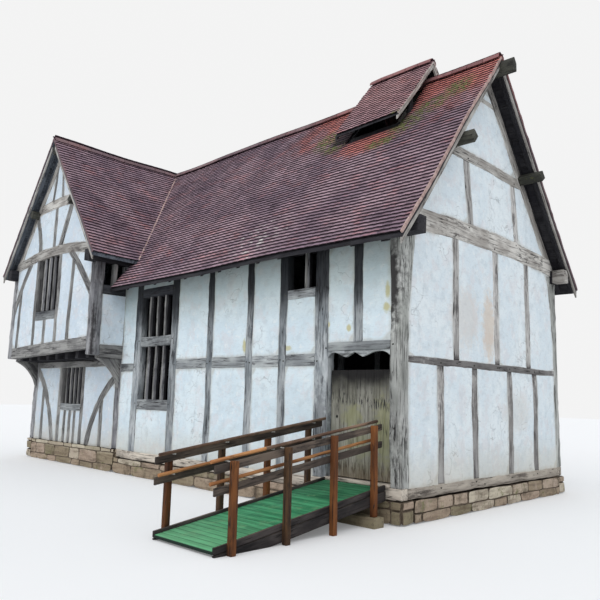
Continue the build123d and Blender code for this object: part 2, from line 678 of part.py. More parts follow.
node("front_panels", stand_y(front_panels, PANEL_RECESS, PANEL_THICKNESS))

rear_studs = wall_studs + [upright(OVER_DOOR_STUD_X, OVER_DOOR_STUD_X, STUD_WIDTH, sill_top, plate_z)]
rear_rail = rect(wing_right, door_right, MID_RAIL_Z, MID_RAIL_Z + MID_RAIL_HEIGHT)
node("rear_studs", stand_y(rear_studs, HALL_DEPTH, -TIMBER_DEPTH))
node("gable_and_rear_rails", stand_y(pieces([rear_rail], rear_studs), HALL_DEPTH, -TIMBER_DEPTH))
rear_panels = pieces([front_outline], rear_studs + [rear_rail])
node("rear_panels", stand_y(rear_panels, HALL_DEPTH - PANEL_RECESS, -PANEL_THICKNESS))

node("sill_beams", [
    block(wing_right, 0, 0, TIMBER_DEPTH, HALL_PLINTH_TOP, sill_top),
    block(wing_right, 0, HALL_DEPTH - TIMBER_DEPTH, HALL_DEPTH, HALL_PLINTH_TOP, sill_top),
])
node("gable_and_rear_rails", [
    block(-TIMBER_DEPTH, 0, TIMBER_DEPTH, HALL_DEPTH - TIMBER_DEPTH, HALL_PLINTH_TOP, sill_top),
])


def mullions(centres, low, high, y):
    """Upright bars, narrow to the front and deep behind, from an opening's sill to its head."""
    bar = Box(MULLION_FACE, MULLION_DEPTH, high - low)
    return [Pos(x, y, (low + high) / 2) * bar for x in centres]


mullion_y = TIMBER_DEPTH / 2
lower_light = WINDOW_SILL_Z + WINDOW_SILL_HEIGHT
upper_light = TRANSOM_Z + TRANSOM_HEIGHT
small_light = SMALL_SILL_Z + SMALL_SILL_HEIGHT
hall_bars = evenly(hall_window_left, hall_window_right, HALL_MULLIONS)
node("window_mullions", mullions(hall_bars, lower_light, TRANSOM_Z, mullion_y))
node("window_mullions", mullions(hall_bars, upper_light, WINDOW_HEAD_Z, mullion_y))
node("window_mullions", mullions([SMALL_MULLION_X], small_light, plate_z, mullion_y))

# Door frame and leaf.
door_span = door_right - DOOR_LEFT
arch_low = HEAD_Z - HEAD_BOARD_DROP
arch_high = HEAD_Z - HEAD_BOARD_DROP / 4
tip_left = DOOR_LEFT + door_span * 0.31
tip_right = DOOR_LEFT + door_span * 0.57
notch_x = (tip_left + tip_right) / 2
left_arch = Spline((DOOR_LEFT, arch_low), (DOOR_LEFT + door_span * 0.1, arch_high),
                   (tip_left - door_span * 0.1, (arch_low + arch_high) / 2), (tip_left, arch_low))
right_arch = Spline((tip_right, arch_low), (tip_right + door_span * 0.1, (arch_low + arch_high) / 2),
                    (door_right - door_span * 0.14, arch_high), (door_right, arch_low))
head_board = make_face([
    left_arch,
    Line((tip_left, arch_low), (notch_x, arch_high)),
    Line((notch_x, arch_high), (tip_right, arch_low)),
    right_arch,
    Line((door_right, arch_low), (door_right, HEAD_Z)),
    Line((door_right, HEAD_Z), (DOOR_LEFT, HEAD_Z)),
    Line((DOOR_LEFT, HEAD_Z), (DOOR_LEFT, arch_low)),
])
node("door_head_board", stand_y([head_board], PANEL_RECESS, HEAD_BOARD_THICKNESS))
node("threshold", [block(DOOR_LEFT, door_right, -PLINTH_PROUD, TIMBER_DEPTH, sill_top, threshold_top)])

board_y = LEAF_SETBACK
ledge_y = board_y + LEAF_BOARD_THICKNESS
strap_y = ledge_y + LEDGE_THICKNESS
leaf_right = door_right - LEAF_HINGE_GAP
leaf_left = DOOR_LEFT + LEAF_FREE_GAP
leaf_foot = threshold_top + LEAF_FOOT_GAP
board_pitch = (leaf_right - leaf_left + LEAF_BOARD_GAP) / LEAF_BOARD_COUNT
for index in range(LEAF_BOARD_COUNT):
    left = leaf_left + index * board_pitch
    node("door_boards", [block(left, left + board_pitch - LEAF_BOARD_GAP, board_y, ledge_y,
                               leaf_foot, LEAF_TOP)])
pin_x = door_right - EYE_RADIUS - 3
pin_y = strap_y + EYE_RADIUS
ledge_right = pin_x - EYE_RADIUS - LEDGE_INSET
for height in LEDGE_HEIGHTS:
    node("door_ledges", [block(leaf_left + LEDGE_INSET, ledge_right, ledge_y, strap_y,
                               height - LEDGE_HEIGHT / 2, height + LEDGE_HEIGHT / 2)])
for height in (LEDGE_HEIGHTS[0], LEDGE_HEIGHTS[-1]):
    low = height - STRAP_HEIGHT / 2
    plate = block(pin_x - STRAP_LENGTH, pin_x, strap_y, strap_y + STRAP_THICKNESS, low,
                  low + STRAP_HEIGHT)
    eye = Pos(pin_x, pin_y, height) * Cylinder(EYE_RADIUS, STRAP_HEIGHT)
    bore = Pos(pin_x, pin_y, height) * Cylinder(PIN_RADIUS + PIN_CLEARANCE, STRAP_HEIGHT * 2)
    node("door_straps", ((plate + eye) - bore).solids())
    pin = Pos(pin_x, pin_y, height) * Cylinder(PIN_RADIUS, STRAP_HEIGHT + 2 * EYE_RADIUS)
    tang = block(pin_x, door_right, pin_y - PIN_RADIUS, pin_y + PIN_RADIUS,
                 low - EYE_RADIUS, low - PIN_CLEARANCE)
    node("door_pins", (pin + tang).solids())

# Wing: posts, beams and floor.
left_in = wing_left + WING_POST
right_in = wing_right - WING_POST
jetty_back = jetty_front + WING_POST
lower_posts = [
    block(wing_left, left_in, 0, WING_POST, WING_PLINTH_TOP, joist_z),
    block(right_in, wing_right, 0, WING_POST, WING_PLINTH_TOP, joist_z),
    block(wing_left, left_in, wing_rear - WING_POST, wing_rear, WING_PLINTH_TOP, joist_z),
    block(right_in, wing_right, wing_rear - WING_POST, wing_rear, WING_PLINTH_TOP, joist_z),
]
upper_posts = [
    block(wing_left, left_in, jetty_front, jetty_back, BRESSUMER_LEFT_Z, wing_plate_z),
    block(right_in, wing_right, jetty_front, jetty_back, BRESSUMER_LEFT_Z, wing_plate_z),
    block(right_in, wing_right, 0, WING_POST, side_beam_top, wing_plate_z),
    block(wing_left, left_in, wing_rear - WING_POST, wing_rear, side_beam_top, wing_plate_z),
    block(right_in, wing_right, wing_rear - WING_POST, wing_rear, side_beam_top, wing_plate_z),
]
node("corner_posts", lower_posts + upper_posts)
node("wing_floor_beams", [
    block(wing_left, left_in, jetty_back, wing_rear, joist_z, side_beam_top),
    block(right_in, wing_right, jetty_back, wing_rear, joist_z, side_beam_top),
])
bressumer_back = jetty_front + BRESSUMER_DEPTH
bressumer = polygon((left_in, BRESSUMER_LEFT_Z), (right_in, BRESSUMER_RIGHT_Z),
                    (right_in, BRESSUMER_RIGHT_Z + BRESSUMER_HEIGHT),
                    (left_in, BRESSUMER_LEFT_Z + BRESSUMER_HEIGHT))
node("wing_cross_beams", stand_y([bressumer], jetty_front, BRESSUMER_DEPTH))
joist_step = (right_in - left_in) / JOIST_COUNT
floor_z = joist_z + JOIST_HEIGHT
for index in range(JOIST_COUNT):
    centre = left_in + joist_step * (index + 0.5)
    node("wing_floor_beams", [block(centre - JOIST_WIDTH / 2, centre + JOIST_WIDTH / 2, bressumer_back,
                                wing_rear - STUD_DEPTH, joist_z, floor_z)])
node("upper_floor", [block(left_in, right_in, bressumer_back, wing_rear - WING_POST, floor_z,
                           floor_z + FLOOR_BOARD_THICKNESS)])
binder_y = wing_rear / 2
node("wing_cross_beams", [block(left_in, wing_right, binder_y - BINDER_WIDTH / 2,
                            binder_y + BINDER_WIDTH / 2, joist_z - BINDER_HEIGHT, joist_z)])
node("corner_posts", [
    block(wing_left, left_in, binder_y - WING_POST / 2, binder_y + WING_POST / 2, WING_PLINTH_TOP,
          joist_z),
])
bracket_height = joist_z - BRACKET_FOOT_Z
bracket_via = (-BRACKET_REACH * (0.5 - BRACKET_HOLLOW),
               BRACKET_FOOT_Z + bracket_height * (0.5 + BRACKET_HOLLOW))
bracket = make_face([
    Line((0, BRACKET_FOOT_Z), (0, joist_z)),
    Line((0, joist_z), (-BRACKET_REACH, joist_z)),
    ThreePointArc((-BRACKET_REACH, joist_z), bracket_via, (0, BRACKET_FOOT_Z)),
])
inset = (WING_POST - BRACKET_THICKNESS) / 2
node("jetty_brackets", stand_x([bracket], wing_right - inset, -BRACKET_THICKNESS))
node("jetty_brackets", stand_x([bracket], wing_left + inset, BRACKET_THICKNESS))

# Wing front, lower storey, in (x, z).
top_rail = rect(left_in, right_in, TOP_RAIL_Z, joist_z)
ground_left_post = rect(ground_window_left - WING_STUD_WIDTH, ground_window_left, WING_PLINTH_TOP,
                        TOP_RAIL_Z)
ground_right_post = rect(ground_window_right, ground_window_right + WING_STUD_WIDTH,
                         WING_PLINTH_TOP, TOP_RAIL_Z)
ground_sill = rect(ground_window_left, ground_window_right, GROUND_SILL_Z,
                   GROUND_SILL_Z + GROUND_SILL_HEIGHT)
left_points = [(wing_left + run, z) for run, z in LOW_BRACE_LEFT]
right_points = [(wing_right - run, z) for run, z in LOW_BRACE_RIGHT]
low_brace_left = band(left_points[0], left_points[1], left_points[2], BRACE_WIDTH)
low_brace_right = band(right_points[0], right_points[1], right_points[2], BRACE_WIDTH)
ground_window = [ground_left_post, ground_right_post, ground_sill]
low_frame = rect(left_in, right_in, WING_PLINTH_TOP, TOP_RAIL_Z)
outside_low = [
    rect(wing_left - far, left_in, 0, far), rect(right_in, wing_right + far, 0, far),
    rect(wing_left - far, wing_right + far, 0, WING_PLINTH_TOP),
    rect(wing_left - far, wing_right + far, TOP_RAIL_Z, far),
]
low_brace_cut = outside_low + ground_window
low_braces = [largest(low_brace_left, low_brace_cut), largest(low_brace_right, low_brace_cut)]
short_left = upright(wing_left + LOW_STUD_LEFT, wing_left + LOW_STUD_LEFT, WING_STUD_WIDTH,
                     WING_PLINTH_TOP, TOP_RAIL_Z)
short_right = upright(wing_right - LOW_STUD_RIGHT, wing_right - LOW_STUD_RIGHT, WING_STUD_WIDTH,
                      WING_PLINTH_TOP, TOP_RAIL_Z)
short_faces = [lowest(short_left, low_braces), lowest(short_right, low_braces)]
close_studs = []
for centre in evenly(ground_window_left, ground_window_right, CLOSE_STUD_COUNT):
    close_studs.append(upright(centre, centre, CLOSE_STUD_WIDTH, WING_PLINTH_TOP, GROUND_SILL_Z))
node("wing_cross_beams", stand_y([top_rail], 0, TIMBER_DEPTH))
node("wing_front_studs", stand_y([ground_left_post, ground_right_post], 0, TIMBER_DEPTH))
node("wing_front_studs", stand_y(short_faces + close_studs, 0, STUD_DEPTH))
node("wing_braces", stand_y(low_braces, 0, STUD_DEPTH))
node("front_rails", stand_y([ground_sill], 0, TIMBER_DEPTH))
ground_light = GROUND_SILL_Z + GROUND_SILL_HEIGHT
ground_opening = rect(ground_window_left, ground_window_right, GROUND_SILL_Z, TOP_RAIL_Z)
low_panels = pieces([low_frame], ground_window + low_braces + short_faces + close_studs
                    + [ground_opening])
node("wing_front_panels", stand_y(low_panels, PANEL_RECESS, PANEL_THICKNESS))
ground_bars = evenly(ground_window_left, ground_window_right, GROUND_MULLIONS)
node("window_mullions", mullions(ground_bars, ground_light, TOP_RAIL_Z, mullion_y))

# Wing front, upper storey and gable.
above_wing = polygon((wing_mid - far, wing_under(wing_mid - far)), (wing_mid, wing_under(wing_mid)),
                     (wing_mid + far, wing_under(wing_mid - far)), (wing_mid + far, far),
                     (wing_mid - far, far))
wing_tie = arched(wing_left, wing_right, wing_wall_top, WING_TIE_HEIGHT, WING_TIE_CAMBER)
wing_tie_cut = [above_wing] + wing_long
wing_tie_faces = pieces([wing_tie], wing_tie_cut)
upper_low = BRESSUMER_LEFT_Z + BRESSUMER_HEIGHT - 1
under_tie = wing_wall_top + WING_TIE_CAMBER
upper_left_post = rect(upper_window_left - WING_STUD_WIDTH, upper_window_left, upper_low, under_tie)
upper_right_post = rect(upper_window_right, upper_window_right + WING_STUD_WIDTH, upper_low, under_tie)
upper_sill = rect(upper_window_left, upper_window_right, UPPER_SILL_Z,
                  UPPER_SILL_Z + UPPER_SILL_HEIGHT)
upper_centre = (upper_window_left + upper_window_right) / 2
left_points = [(wing_left + run, z) for run, z in HIGH_BRACE_LEFT]
right_points = [(wing_right - run, z) for run, z in HIGH_BRACE_RIGHT]
upper_brace_left = band(left_points[0], left_points[1], left_points[2], BRACE_WIDTH)
upper_brace_right = band(right_points[0], right_points[1], right_points[2], BRACE_WIDTH)
outside_up = [
    rect(wing_left - far, left_in, 0, far), rect(right_in, wing_right + far, 0, far), bressumer,
    wing_tie,
]
upper_window = [upper_left_post, upper_right_post, upper_sill]
upper_post_faces = pieces([upper_left_post, upper_right_post], [bressumer, wing_tie])
upper_brace_cut = outside_up + upper_window
upper_braces = [largest(upper_brace_left, upper_brace_cut)]
upper_braces += [largest(upper_brace_right, upper_brace_cut)]
upper_stud_left = upright(wing_left + HIGH_STUD_LEFT[0], wing_left + HIGH_STUD_LEFT[1],
                          WING_STUD_WIDTH, upper_low, under_tie)
upper_stud_right = upright(wing_right - HIGH_STUD_RIGHT[0], wing_right - HIGH_STUD_RIGHT[1],
                           WING_STUD_WIDTH, upper_low, under_tie)
under_sill_stud = upright(upper_centre, upper_centre, WING_STUD_WIDTH, upper_low, UPPER_SILL_Z)
upper_cut = outside_up + upper_braces
upper_stud_faces = [lowest(upper_stud_left, upper_cut), lowest(upper_stud_right, upper_cut)]
upper_stud_faces += pieces([under_sill_stud], [bressumer])
upper_frame = rect(left_in, right_in, upper_low, under_tie)
upper_opening = rect(upper_window_left, upper_window_right, UPPER_SILL_Z, under_tie)
upper_panels = pieces([upper_frame], outside_up + upper_window + upper_braces + upper_stud_faces
                      + [upper_opening])
node("wing_front_studs", stand_y(upper_post_faces, jetty_front, TIMBER_DEPTH))
node("wing_front_studs", stand_y(upper_stud_faces, jetty_front, STUD_DEPTH))
node("wing_braces", stand_y(upper_braces, jetty_front, STUD_DEPTH))
node("front_rails", stand_y([upper_sill], jetty_front, TIMBER_DEPTH))
node("wing_front_panels", stand_y(upper_panels, jetty_front + PANEL_RECESS, PANEL_THICKNESS))
upper_light_z = UPPER_SILL_Z + UPPER_SILL_HEIGHT
upper_bars = evenly(upper_window_left, upper_window_right, UPPER_MULLIONS)
tie_solids = stand_y(wing_tie_faces, jetty_front, TIMBER_DEPTH)
for bar in mullions(upper_bars, upper_light_z, wing_wall_top + WING_TIE_CAMBER, jetty_front + mullion_y):
    for tie_solid in tie_solids:
        bar = bar - tie_solid
    node("window_mullions", [min(bar.solids(), key=lambda solid: solid.center().Z)])

wing_fall = WING_PRINCIPAL_DEPTH * wing_length_factor
wing_rafter_left = polygon((wing_left, wing_wall_top), (wing_mid, wing_under(wing_mid)),
                           (wing_mid, wing_under(wing_mid) - wing_fall),
                           (wing_left, wing_wall_top - wing_fall))
wing_rafter_right = polygon((wing_right, wing_wall_top), (wing_mid, wing_under(wing_mid)),
                            (wing_mid, wing_under(wing_mid) - wing_fall),
                            (wing_right, wing_wall_top - wing_fall))
wing_rafters = [wing_rafter_left, wing_rafter_right]
wing_collar = arched(wing_left, wing_right, WING_COLLAR_Z, WING_COLLAR_HEIGHT, WING_COLLAR_CAMBER)
below_wing_tie = rect(-far, far, -far, wing_wall_top + WING_TIE_HEIGHT / 2)
wing_rafter_cut = wing_tie_cut + [wing_tie, below_wing_tie, wing_apex]
wing_rafter_faces = pieces(wing_rafters, wing_rafter_cut)
wing_collar_faces = pieces([wing_collar], wing_tie_cut + wing_rafters)
tie_top = wing_wall_top + WING_TIE_HEIGHT
collar_top = WING_COLLAR_Z + WING_COLLAR_HEIGHT
collar_low = WING_COLLAR_Z + WING_COLLAR_CAMBER
king_stud = upright(wing_mid, wing_mid, WING_STUD_WIDTH, tie_top, collar_low)
gable_brace_left = band((wing_mid - GABLE_BRACE_FOOT, tie_top),
                        (wing_mid - GABLE_BRACE_KNEE, (tie_top + collar_low) / 2),
                        (wing_mid - GABLE_BRACE_HEAD, collar_low), BRACE_WIDTH)
gable_brace_right = upright(wing_mid + SLANT_BRACE_FOOT, wing_mid + SLANT_BRACE_HEAD,
                            SLANT_BRACE_WIDTH, tie_top, collar_low)
strut_left = upright(wing_mid + V_STRUT_LEFT[0], wing_mid + V_STRUT_LEFT[1], V_STRUT_WIDTH,
                     collar_top, RIDGE_Z)
strut_right = upright(wing_mid + V_STRUT_RIGHT[0], wing_mid + V_STRUT_RIGHT[1], V_STRUT_WIDTH,
                      collar_top, RIDGE_Z)
gable_stud_cut = wing_tie_cut + [wing_tie] + wing_rafters + [wing_collar]
wing_gable_studs = pieces([king_stud, strut_left, strut_right], gable_stud_cut)
wing_gable_braces = pieces([gable_brace_left, gable_brace_right], gable_stud_cut + [king_stud])
wing_gable_outline = polygon((wing_left, wing_wall_top), (wing_right, wing_wall_top),
                             (wing_right, far), (wing_left, far))
wing_gable_timbers = wing_gable_studs + wing_gable_braces
wing_gable_cut = gable_stud_cut + wing_gable_timbers + [below_wing_tie]
wing_gable_panels = pieces([wing_gable_outline], wing_gable_cut)
node("tie_and_collar_beams", tie_solids)
node("tie_and_collar_beams", stand_y(wing_collar_faces, jetty_front, TIMBER_DEPTH))
node("principal_rafters", stand_y(wing_rafter_faces, jetty_front, TIMBER_DEPTH))
node("wing_front_studs", stand_y(wing_gable_studs, jetty_front, STUD_DEPTH))
node("wing_braces", stand_y(wing_gable_braces, jetty_front, STUD_DEPTH))
node("wing_front_panels", stand_y(wing_gable_panels, jetty_front + PANEL_RECESS, PANEL_THICKNESS))

# Wing rear wall, which repeats it plainly.
rear_beam = rect(left_in, right_in, TOP_RAIL_Z, side_beam_top)
rear_low_studs = []
rear_high_studs = []
for centre in evenly(left_in, right_in, REAR_STUD_COUNT):
    rear_low_studs.append(upright(centre, centre, WING_STUD_WIDTH, WING_PLINTH_TOP, TOP_RAIL_Z))
    rear_high_studs.append(upright(centre, centre, WING_STUD_WIDTH, side_beam_top, under_tie))
rear_high_faces = pieces(rear_high_studs, [wing_tie])
rear_low_panels = pieces([low_frame], rear_low_studs)
rear_high_panels = pieces([rect(left_in, right_in, side_beam_top, under_tie)],
                          rear_high_studs + [wing_tie])
node("wing_side_and_rear_studs", stand_y(rear_low_studs + rear_high_faces, wing_rear, -STUD_DEPTH))
node("wing_cross_beams", stand_y([rear_beam], wing_rear, -STUD_DEPTH))
node("wing_side_and_rear_panels", stand_y(rear_low_panels + rear_high_panels,
                                          wing_rear - PANEL_RECESS, -PANEL_THICKNESS))
node("tie_and_collar_beams", stand_y(wing_tie_faces + wing_collar_faces, wing_rear, -TIMBER_DEPTH))
node("principal_rafters", stand_y(wing_rafter_faces, wing_rear, -TIMBER_DEPTH))
rear_gable_stud = pieces([king_stud], gable_stud_cut)
rear_gable_panels = pieces([wing_gable_outline], gable_stud_cut + rear_gable_stud + [below_wing_tie])
node("wing_side_and_rear_studs", stand_y(rear_gable_stud, wing_rear, -STUD_DEPTH))
node("wing_side_and_rear_panels", stand_y(rear_gable_panels, wing_rear - PANEL_RECESS,
                                          -PANEL_THICKNESS))

# Wing side walls, in (y, z).
side_start = jetty_back
side_end = wing_rear - WING_POST
binder_post_low = rect(binder_y - WING_POST / 2, binder_y + WING_POST / 2, WING_PLINTH_TOP, joist_z)
side_low_studs = []
for centre in evenly(WING_POST, binder_y - WING_POST / 2, SIDE_LOW_STUDS):
    side_low_studs.append(upright(centre, centre, WING_STUD_WIDTH, WING_PLINTH_TOP, joist_z))
for centre in evenly(binder_y + WING_POST / 2, side_end, SIDE_LOW_STUDS):
    side_low_studs.append(upright(centre, centre, WING_STUD_WIDTH, WING_PLINTH_TOP, joist_z))
side_high_studs = []
for centre in evenly(side_start, side_end, SIDE_HIGH_STUDS):
    side_high_studs.append(upright(centre, centre, WING_STUD_WIDTH, side_beam_top, wing_plate_z))
side_low_panels = pieces([rect(WING_POST, side_end, WING_PLINTH_TOP, joist_z)],
                         side_low_studs + [binder_post_low])
side_high_panels = pieces([rect(side_start, side_end, side_beam_top, wing_plate_z)], side_high_studs)
node("wing_side_and_rear_studs", stand_x(side_low_studs + side_high_studs, wing_left, STUD_DEPTH))
node("wing_side_and_rear_panels", stand_x(side_low_panels + side_high_panels,
                                          wing_left + PANEL_RECESS, PANEL_THICKNESS))

return_rail = rect(side_start, 0, RETURN_RAIL_Z, RETURN_RAIL_Z + RETURN_RAIL_HEIGHT)
return_panel = rect(side_start, 0, side_beam_top, RETURN_RAIL_Z)
return_stud = upright(side_start / 2, side_start / 2, RETURN_STUD_WIDTH,
                      RETURN_RAIL_Z + RETURN_RAIL_HEIGHT, wing_plate_z)
rear_return_low = rect(HALL_DEPTH, side_end, WING_PLINTH_TOP, joist_z)
rear_return_high = rect(HALL_DEPTH, side_end, side_beam_top, wing_plate_z)
node("front_rails", stand_x([return_rail], wing_right, -TIMBER_DEPTH))
node("wing_front_studs", stand_x([return_stud], wing_right, -STUD_DEPTH))
node("wing_front_panels", stand_x([return_panel], wing_right - PANEL_RECESS, -PANEL_THICKNESS))
node("wing_side_and_rear_panels", stand_x([rear_return_low, rear_return_high],
                                          wing_right - PANEL_RECESS, -PANEL_THICKNESS))

# Smoke louvre.
louvre_y = mid_y - LOUVRE_HALF_DEPTH
louvre_z = hall_top(louvre_y) + LOUVRE_LIFT
louvre_ridge = RIDGE_Z + LOUVRE_LIFT
louvre_section = polygon(
    (louvre_y, louvre_z), (mid_y, louvre_ridge), (2 * mid_y - louvre_y, louvre_z),
    (2 * mid_y - louvre_y, louvre_z - LOUVRE_DROP), (mid_y, louvre_ridge - LOUVRE_DROP),
    (louvre_y, louvre_z - LOUVRE_DROP)
)
louvre_faces = pieces([louvre_section], [hall_apex])
node("louvre_roof", stand_x(louvre_faces, LOUVRE_RIGHT, LOUVRE_LEFT - LOUVRE_RIGHT))
louvre_board_fall = LOUVRE_BOARD_DEPTH * hall_length_factor
louvre_board = polygon(
    (louvre_y, louvre_z - LOUVRE_DROP), (mid_y, louvre_ridge - LOUVRE_DROP),
    (2 * mid_y - louvre_y, louvre_z - LOUVRE_DROP),
    (2 * mid_y - louvre_y, louvre_z - LOUVRE_DROP - louvre_board_fall),
    (mid_y, louvre_ridge - LOUVRE_DROP - louvre_board_fall),
    (louvre_y, louvre_z - LOUVRE_DROP - louvre_board_fall)
)
louvre_board_faces = pieces([louvre_board], [hall_apex])
node("barge_boards", stand_x(louvre_board_faces, LOUVRE_RIGHT, -LOUVRE_BOARD_THICKNESS))
node("barge_boards", stand_x(louvre_board_faces, LOUVRE_LEFT, LOUVRE_BOARD_THICKNESS))


def louvre_leg(near):
    """A leg's side view: it stands on the main slope and meets the louvre's underside."""
    away = near + LOUVRE_POST
    lift = LOUVRE_LIFT - LOUVRE_DROP
    return polygon((near, hall_top(near)), (away, hall_top(away)), (away, hall_top(away) + lift),
                   (near, hall_top(near) + lift))


leg_y = mid_y - HOLE_HALF_DEPTH + LOUVRE_POST
legs = [louvre_leg(leg_y), louvre_leg(2 * mid_y - leg_y - LOUVRE_POST)]
node("louvre_legs", stand_x(legs, LOUVRE_RIGHT - LOUVRE_BOARD_THICKNESS, -LOUVRE_POST))
node("louvre_legs", stand_x(legs, LOUVRE_LEFT + LOUVRE_BOARD_THICKNESS, LOUVRE_POST))

# Ramp, its side views in (y, z).
ramp_head_y = -PLINTH_PROUD
ramp_slope = (RAMP_TOP_Z - RAMP_FOOT_Z) / (ramp_head_y - RAMP_FOOT_Y)
ramp_left = RAMP_CENTRE_X - RAMP_WIDTH / 2
ramp_right = RAMP_CENTRE_X + RAMP_WIDTH / 2


def deck_z(y):
    return RAMP_FOOT_Z + (y - RAMP_FOOT_Y) * ramp_slope


def sloped(y0, y1, low, high):
    """A board seen from the side, running with the deck at heights over its surface."""
    return polygon((y0, deck_z(y0) + low), (y1, deck_z(y1) + low), (y1, deck_z(y1) + high),
                   (y0, deck_z(y0) + high))


ground_line = rect(RAMP_FOOT_Y - far, far, -far, 0)
node("ramp_deck", stand_x([sloped(RAMP_FOOT_Y, ramp_head_y, -DECK_THICKNESS, 0)], ramp_left, RAMP_WIDTH))
kerb_low = -DECK_THICKNESS
stringer_high = kerb_low - STRINGER_GAP
side_boards = [
    sloped(RAMP_FOOT_Y, ramp_head_y, kerb_low, KERB_HEIGHT),
    sloped(RAMP_FOOT_Y, ramp_head_y, stringer_high - STRINGER_HEIGHT, stringer_high),
]
footing_near = RAMP_POST_FIRST_Y + FOOTING_DEPTH / 2
footing_far = RAMP_POST_FIRST_Y - FOOTING_DEPTH / 2
footing = rect(footing_far, footing_near, 0, FOOTING_HEIGHT)
side_faces = pieces(side_boards, [ground_line, footing])
for x, depth in ((ramp_left, -KERB_THICKNESS), (ramp_right, KERB_THICKNESS)):
    node("ramp_side_boards", stand_x(side_faces, x, depth))
post_centres = [RAMP_POST_FIRST_Y - index * RAMP_POST_PITCH for index in range(RAMP_POST_COUNT)]
near_post_x = ramp_right + KERB_THICKNESS
far_post_x = ramp_left - KERB_THICKNESS
footing_left = far_post_x - RAMP_POST - FOOTING_MARGIN
footing_length = near_post_x + RAMP_POST + FOOTING_MARGIN - footing_left
node("ramp_bearers", stand_x([footing], footing_left, footing_length))
for y in post_centres:
    top = deck_z(y) + RAMP_POST_HEIGHT
    foot = FOOTING_HEIGHT if y == RAMP_POST_FIRST_Y else 0
    node("ramp_posts", [
        block(near_post_x, near_post_x + RAMP_POST, y - RAMP_POST / 2, y + RAMP_POST / 2, foot, top),
        block(far_post_x - RAMP_POST, far_post_x, y - RAMP_POST / 2, y + RAMP_POST / 2, foot, top),
    ])
    bearer = sloped(y - BEARER_WIDTH / 2, y + BEARER_WIDTH / 2, -DECK_THICKNESS - BEARER_HEIGHT,
                    -DECK_THICKNESS)
    node("ramp_bearers", stand_x(pieces([bearer], [ground_line]), ramp_left, RAMP_WIDTH))
rail_head_y = RAMP_POST_FIRST_Y + RAIL_OVERHANG
rail_foot_y = post_centres[-1] - RAIL_OVERHANG
top_rail_high = RAMP_POST_HEIGHT - RAIL_DROP
mid_rail_high = RAMP_POST_HEIGHT - MID_RAIL_DROP
rails = [
    sloped(rail_foot_y, rail_head_y, top_rail_high - RAIL_HEIGHT, top_rail_high),
    sloped(rail_foot_y, rail_head_y, mid_rail_high - RAIL_HEIGHT, mid_rail_high),
]
node("ramp_rails", stand_x(rails, near_post_x, -RAIL_THICKNESS))
node("ramp_rails", stand_x(rails, far_post_x, RAIL_THICKNESS))
pole_length = (rail_head_y - rail_foot_y) * (1 + ramp_slope ** 2) ** 0.5
pole_direction = Vector(0, 1, ramp_slope).normalized()
pole_sides = (
    (near_post_x - RAIL_THICKNESS, -1),
    (far_post_x + RAIL_THICKNESS, 1),
)
for rail_high in (top_rail_high, mid_rail_high):
    for rail_x, inward in pole_sides:
        pole_x = rail_x + inward * POLE_REACH
        start = (pole_x, rail_foot_y, deck_z(rail_foot_y) + rail_high + POLE_LIFT)
        pole_plane = Plane(origin=start, x_dir=(1, 0, 0), z_dir=pole_direction)
        pole = extrude(pole_plane * Circle(POLE_RADIUS), amount=pole_length)
        node("ramp_poles", pole.solids())
        for y in post_centres:
            pole_z = deck_z(y) + rail_high + POLE_LIFT
            under = pole_z - POLE_RADIUS - ARM_SIZE
            arm = block(rail_x, pole_x + inward * ARM_SIZE / 2, y - ARM_SIZE / 2, y + ARM_SIZE / 2,
                        under - ARM_SIZE / 2, under + ARM_SIZE / 2)
            stem = block(pole_x - ARM_SIZE / 2, pole_x + ARM_SIZE / 2, y - ARM_SIZE / 2,
                         y + ARM_SIZE / 2, under, pole_z)
            node("ramp_pole_brackets", ((arm + stem) - pole).solids())
# One file a piece.
os.makedirs("parts", exist_ok=True)
for name, solids in nodes.items():
    export_step(Compound(children=list(solids)), "parts/" + name + ".step")
    print(name, len(solids))
print(len(nodes), "nodes")
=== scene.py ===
# %% [markdown]
# # A half timbered house
# A hall under a steep tiled roof, with a cross wing of two storeys that jetties out to the front.
# The solids come in as a fixed frame, in metres: x runs along the hall, y goes back, z is up.
# Here each of them gets the surface of the real thing: split and silvered oak, limewash over daub,
# clay tiles laid one by one, sandstone blocks, and the planks of a modern ramp.

import json
import math
import random

import bpy
import numpy as np
from mathutils import Euler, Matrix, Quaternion, Vector

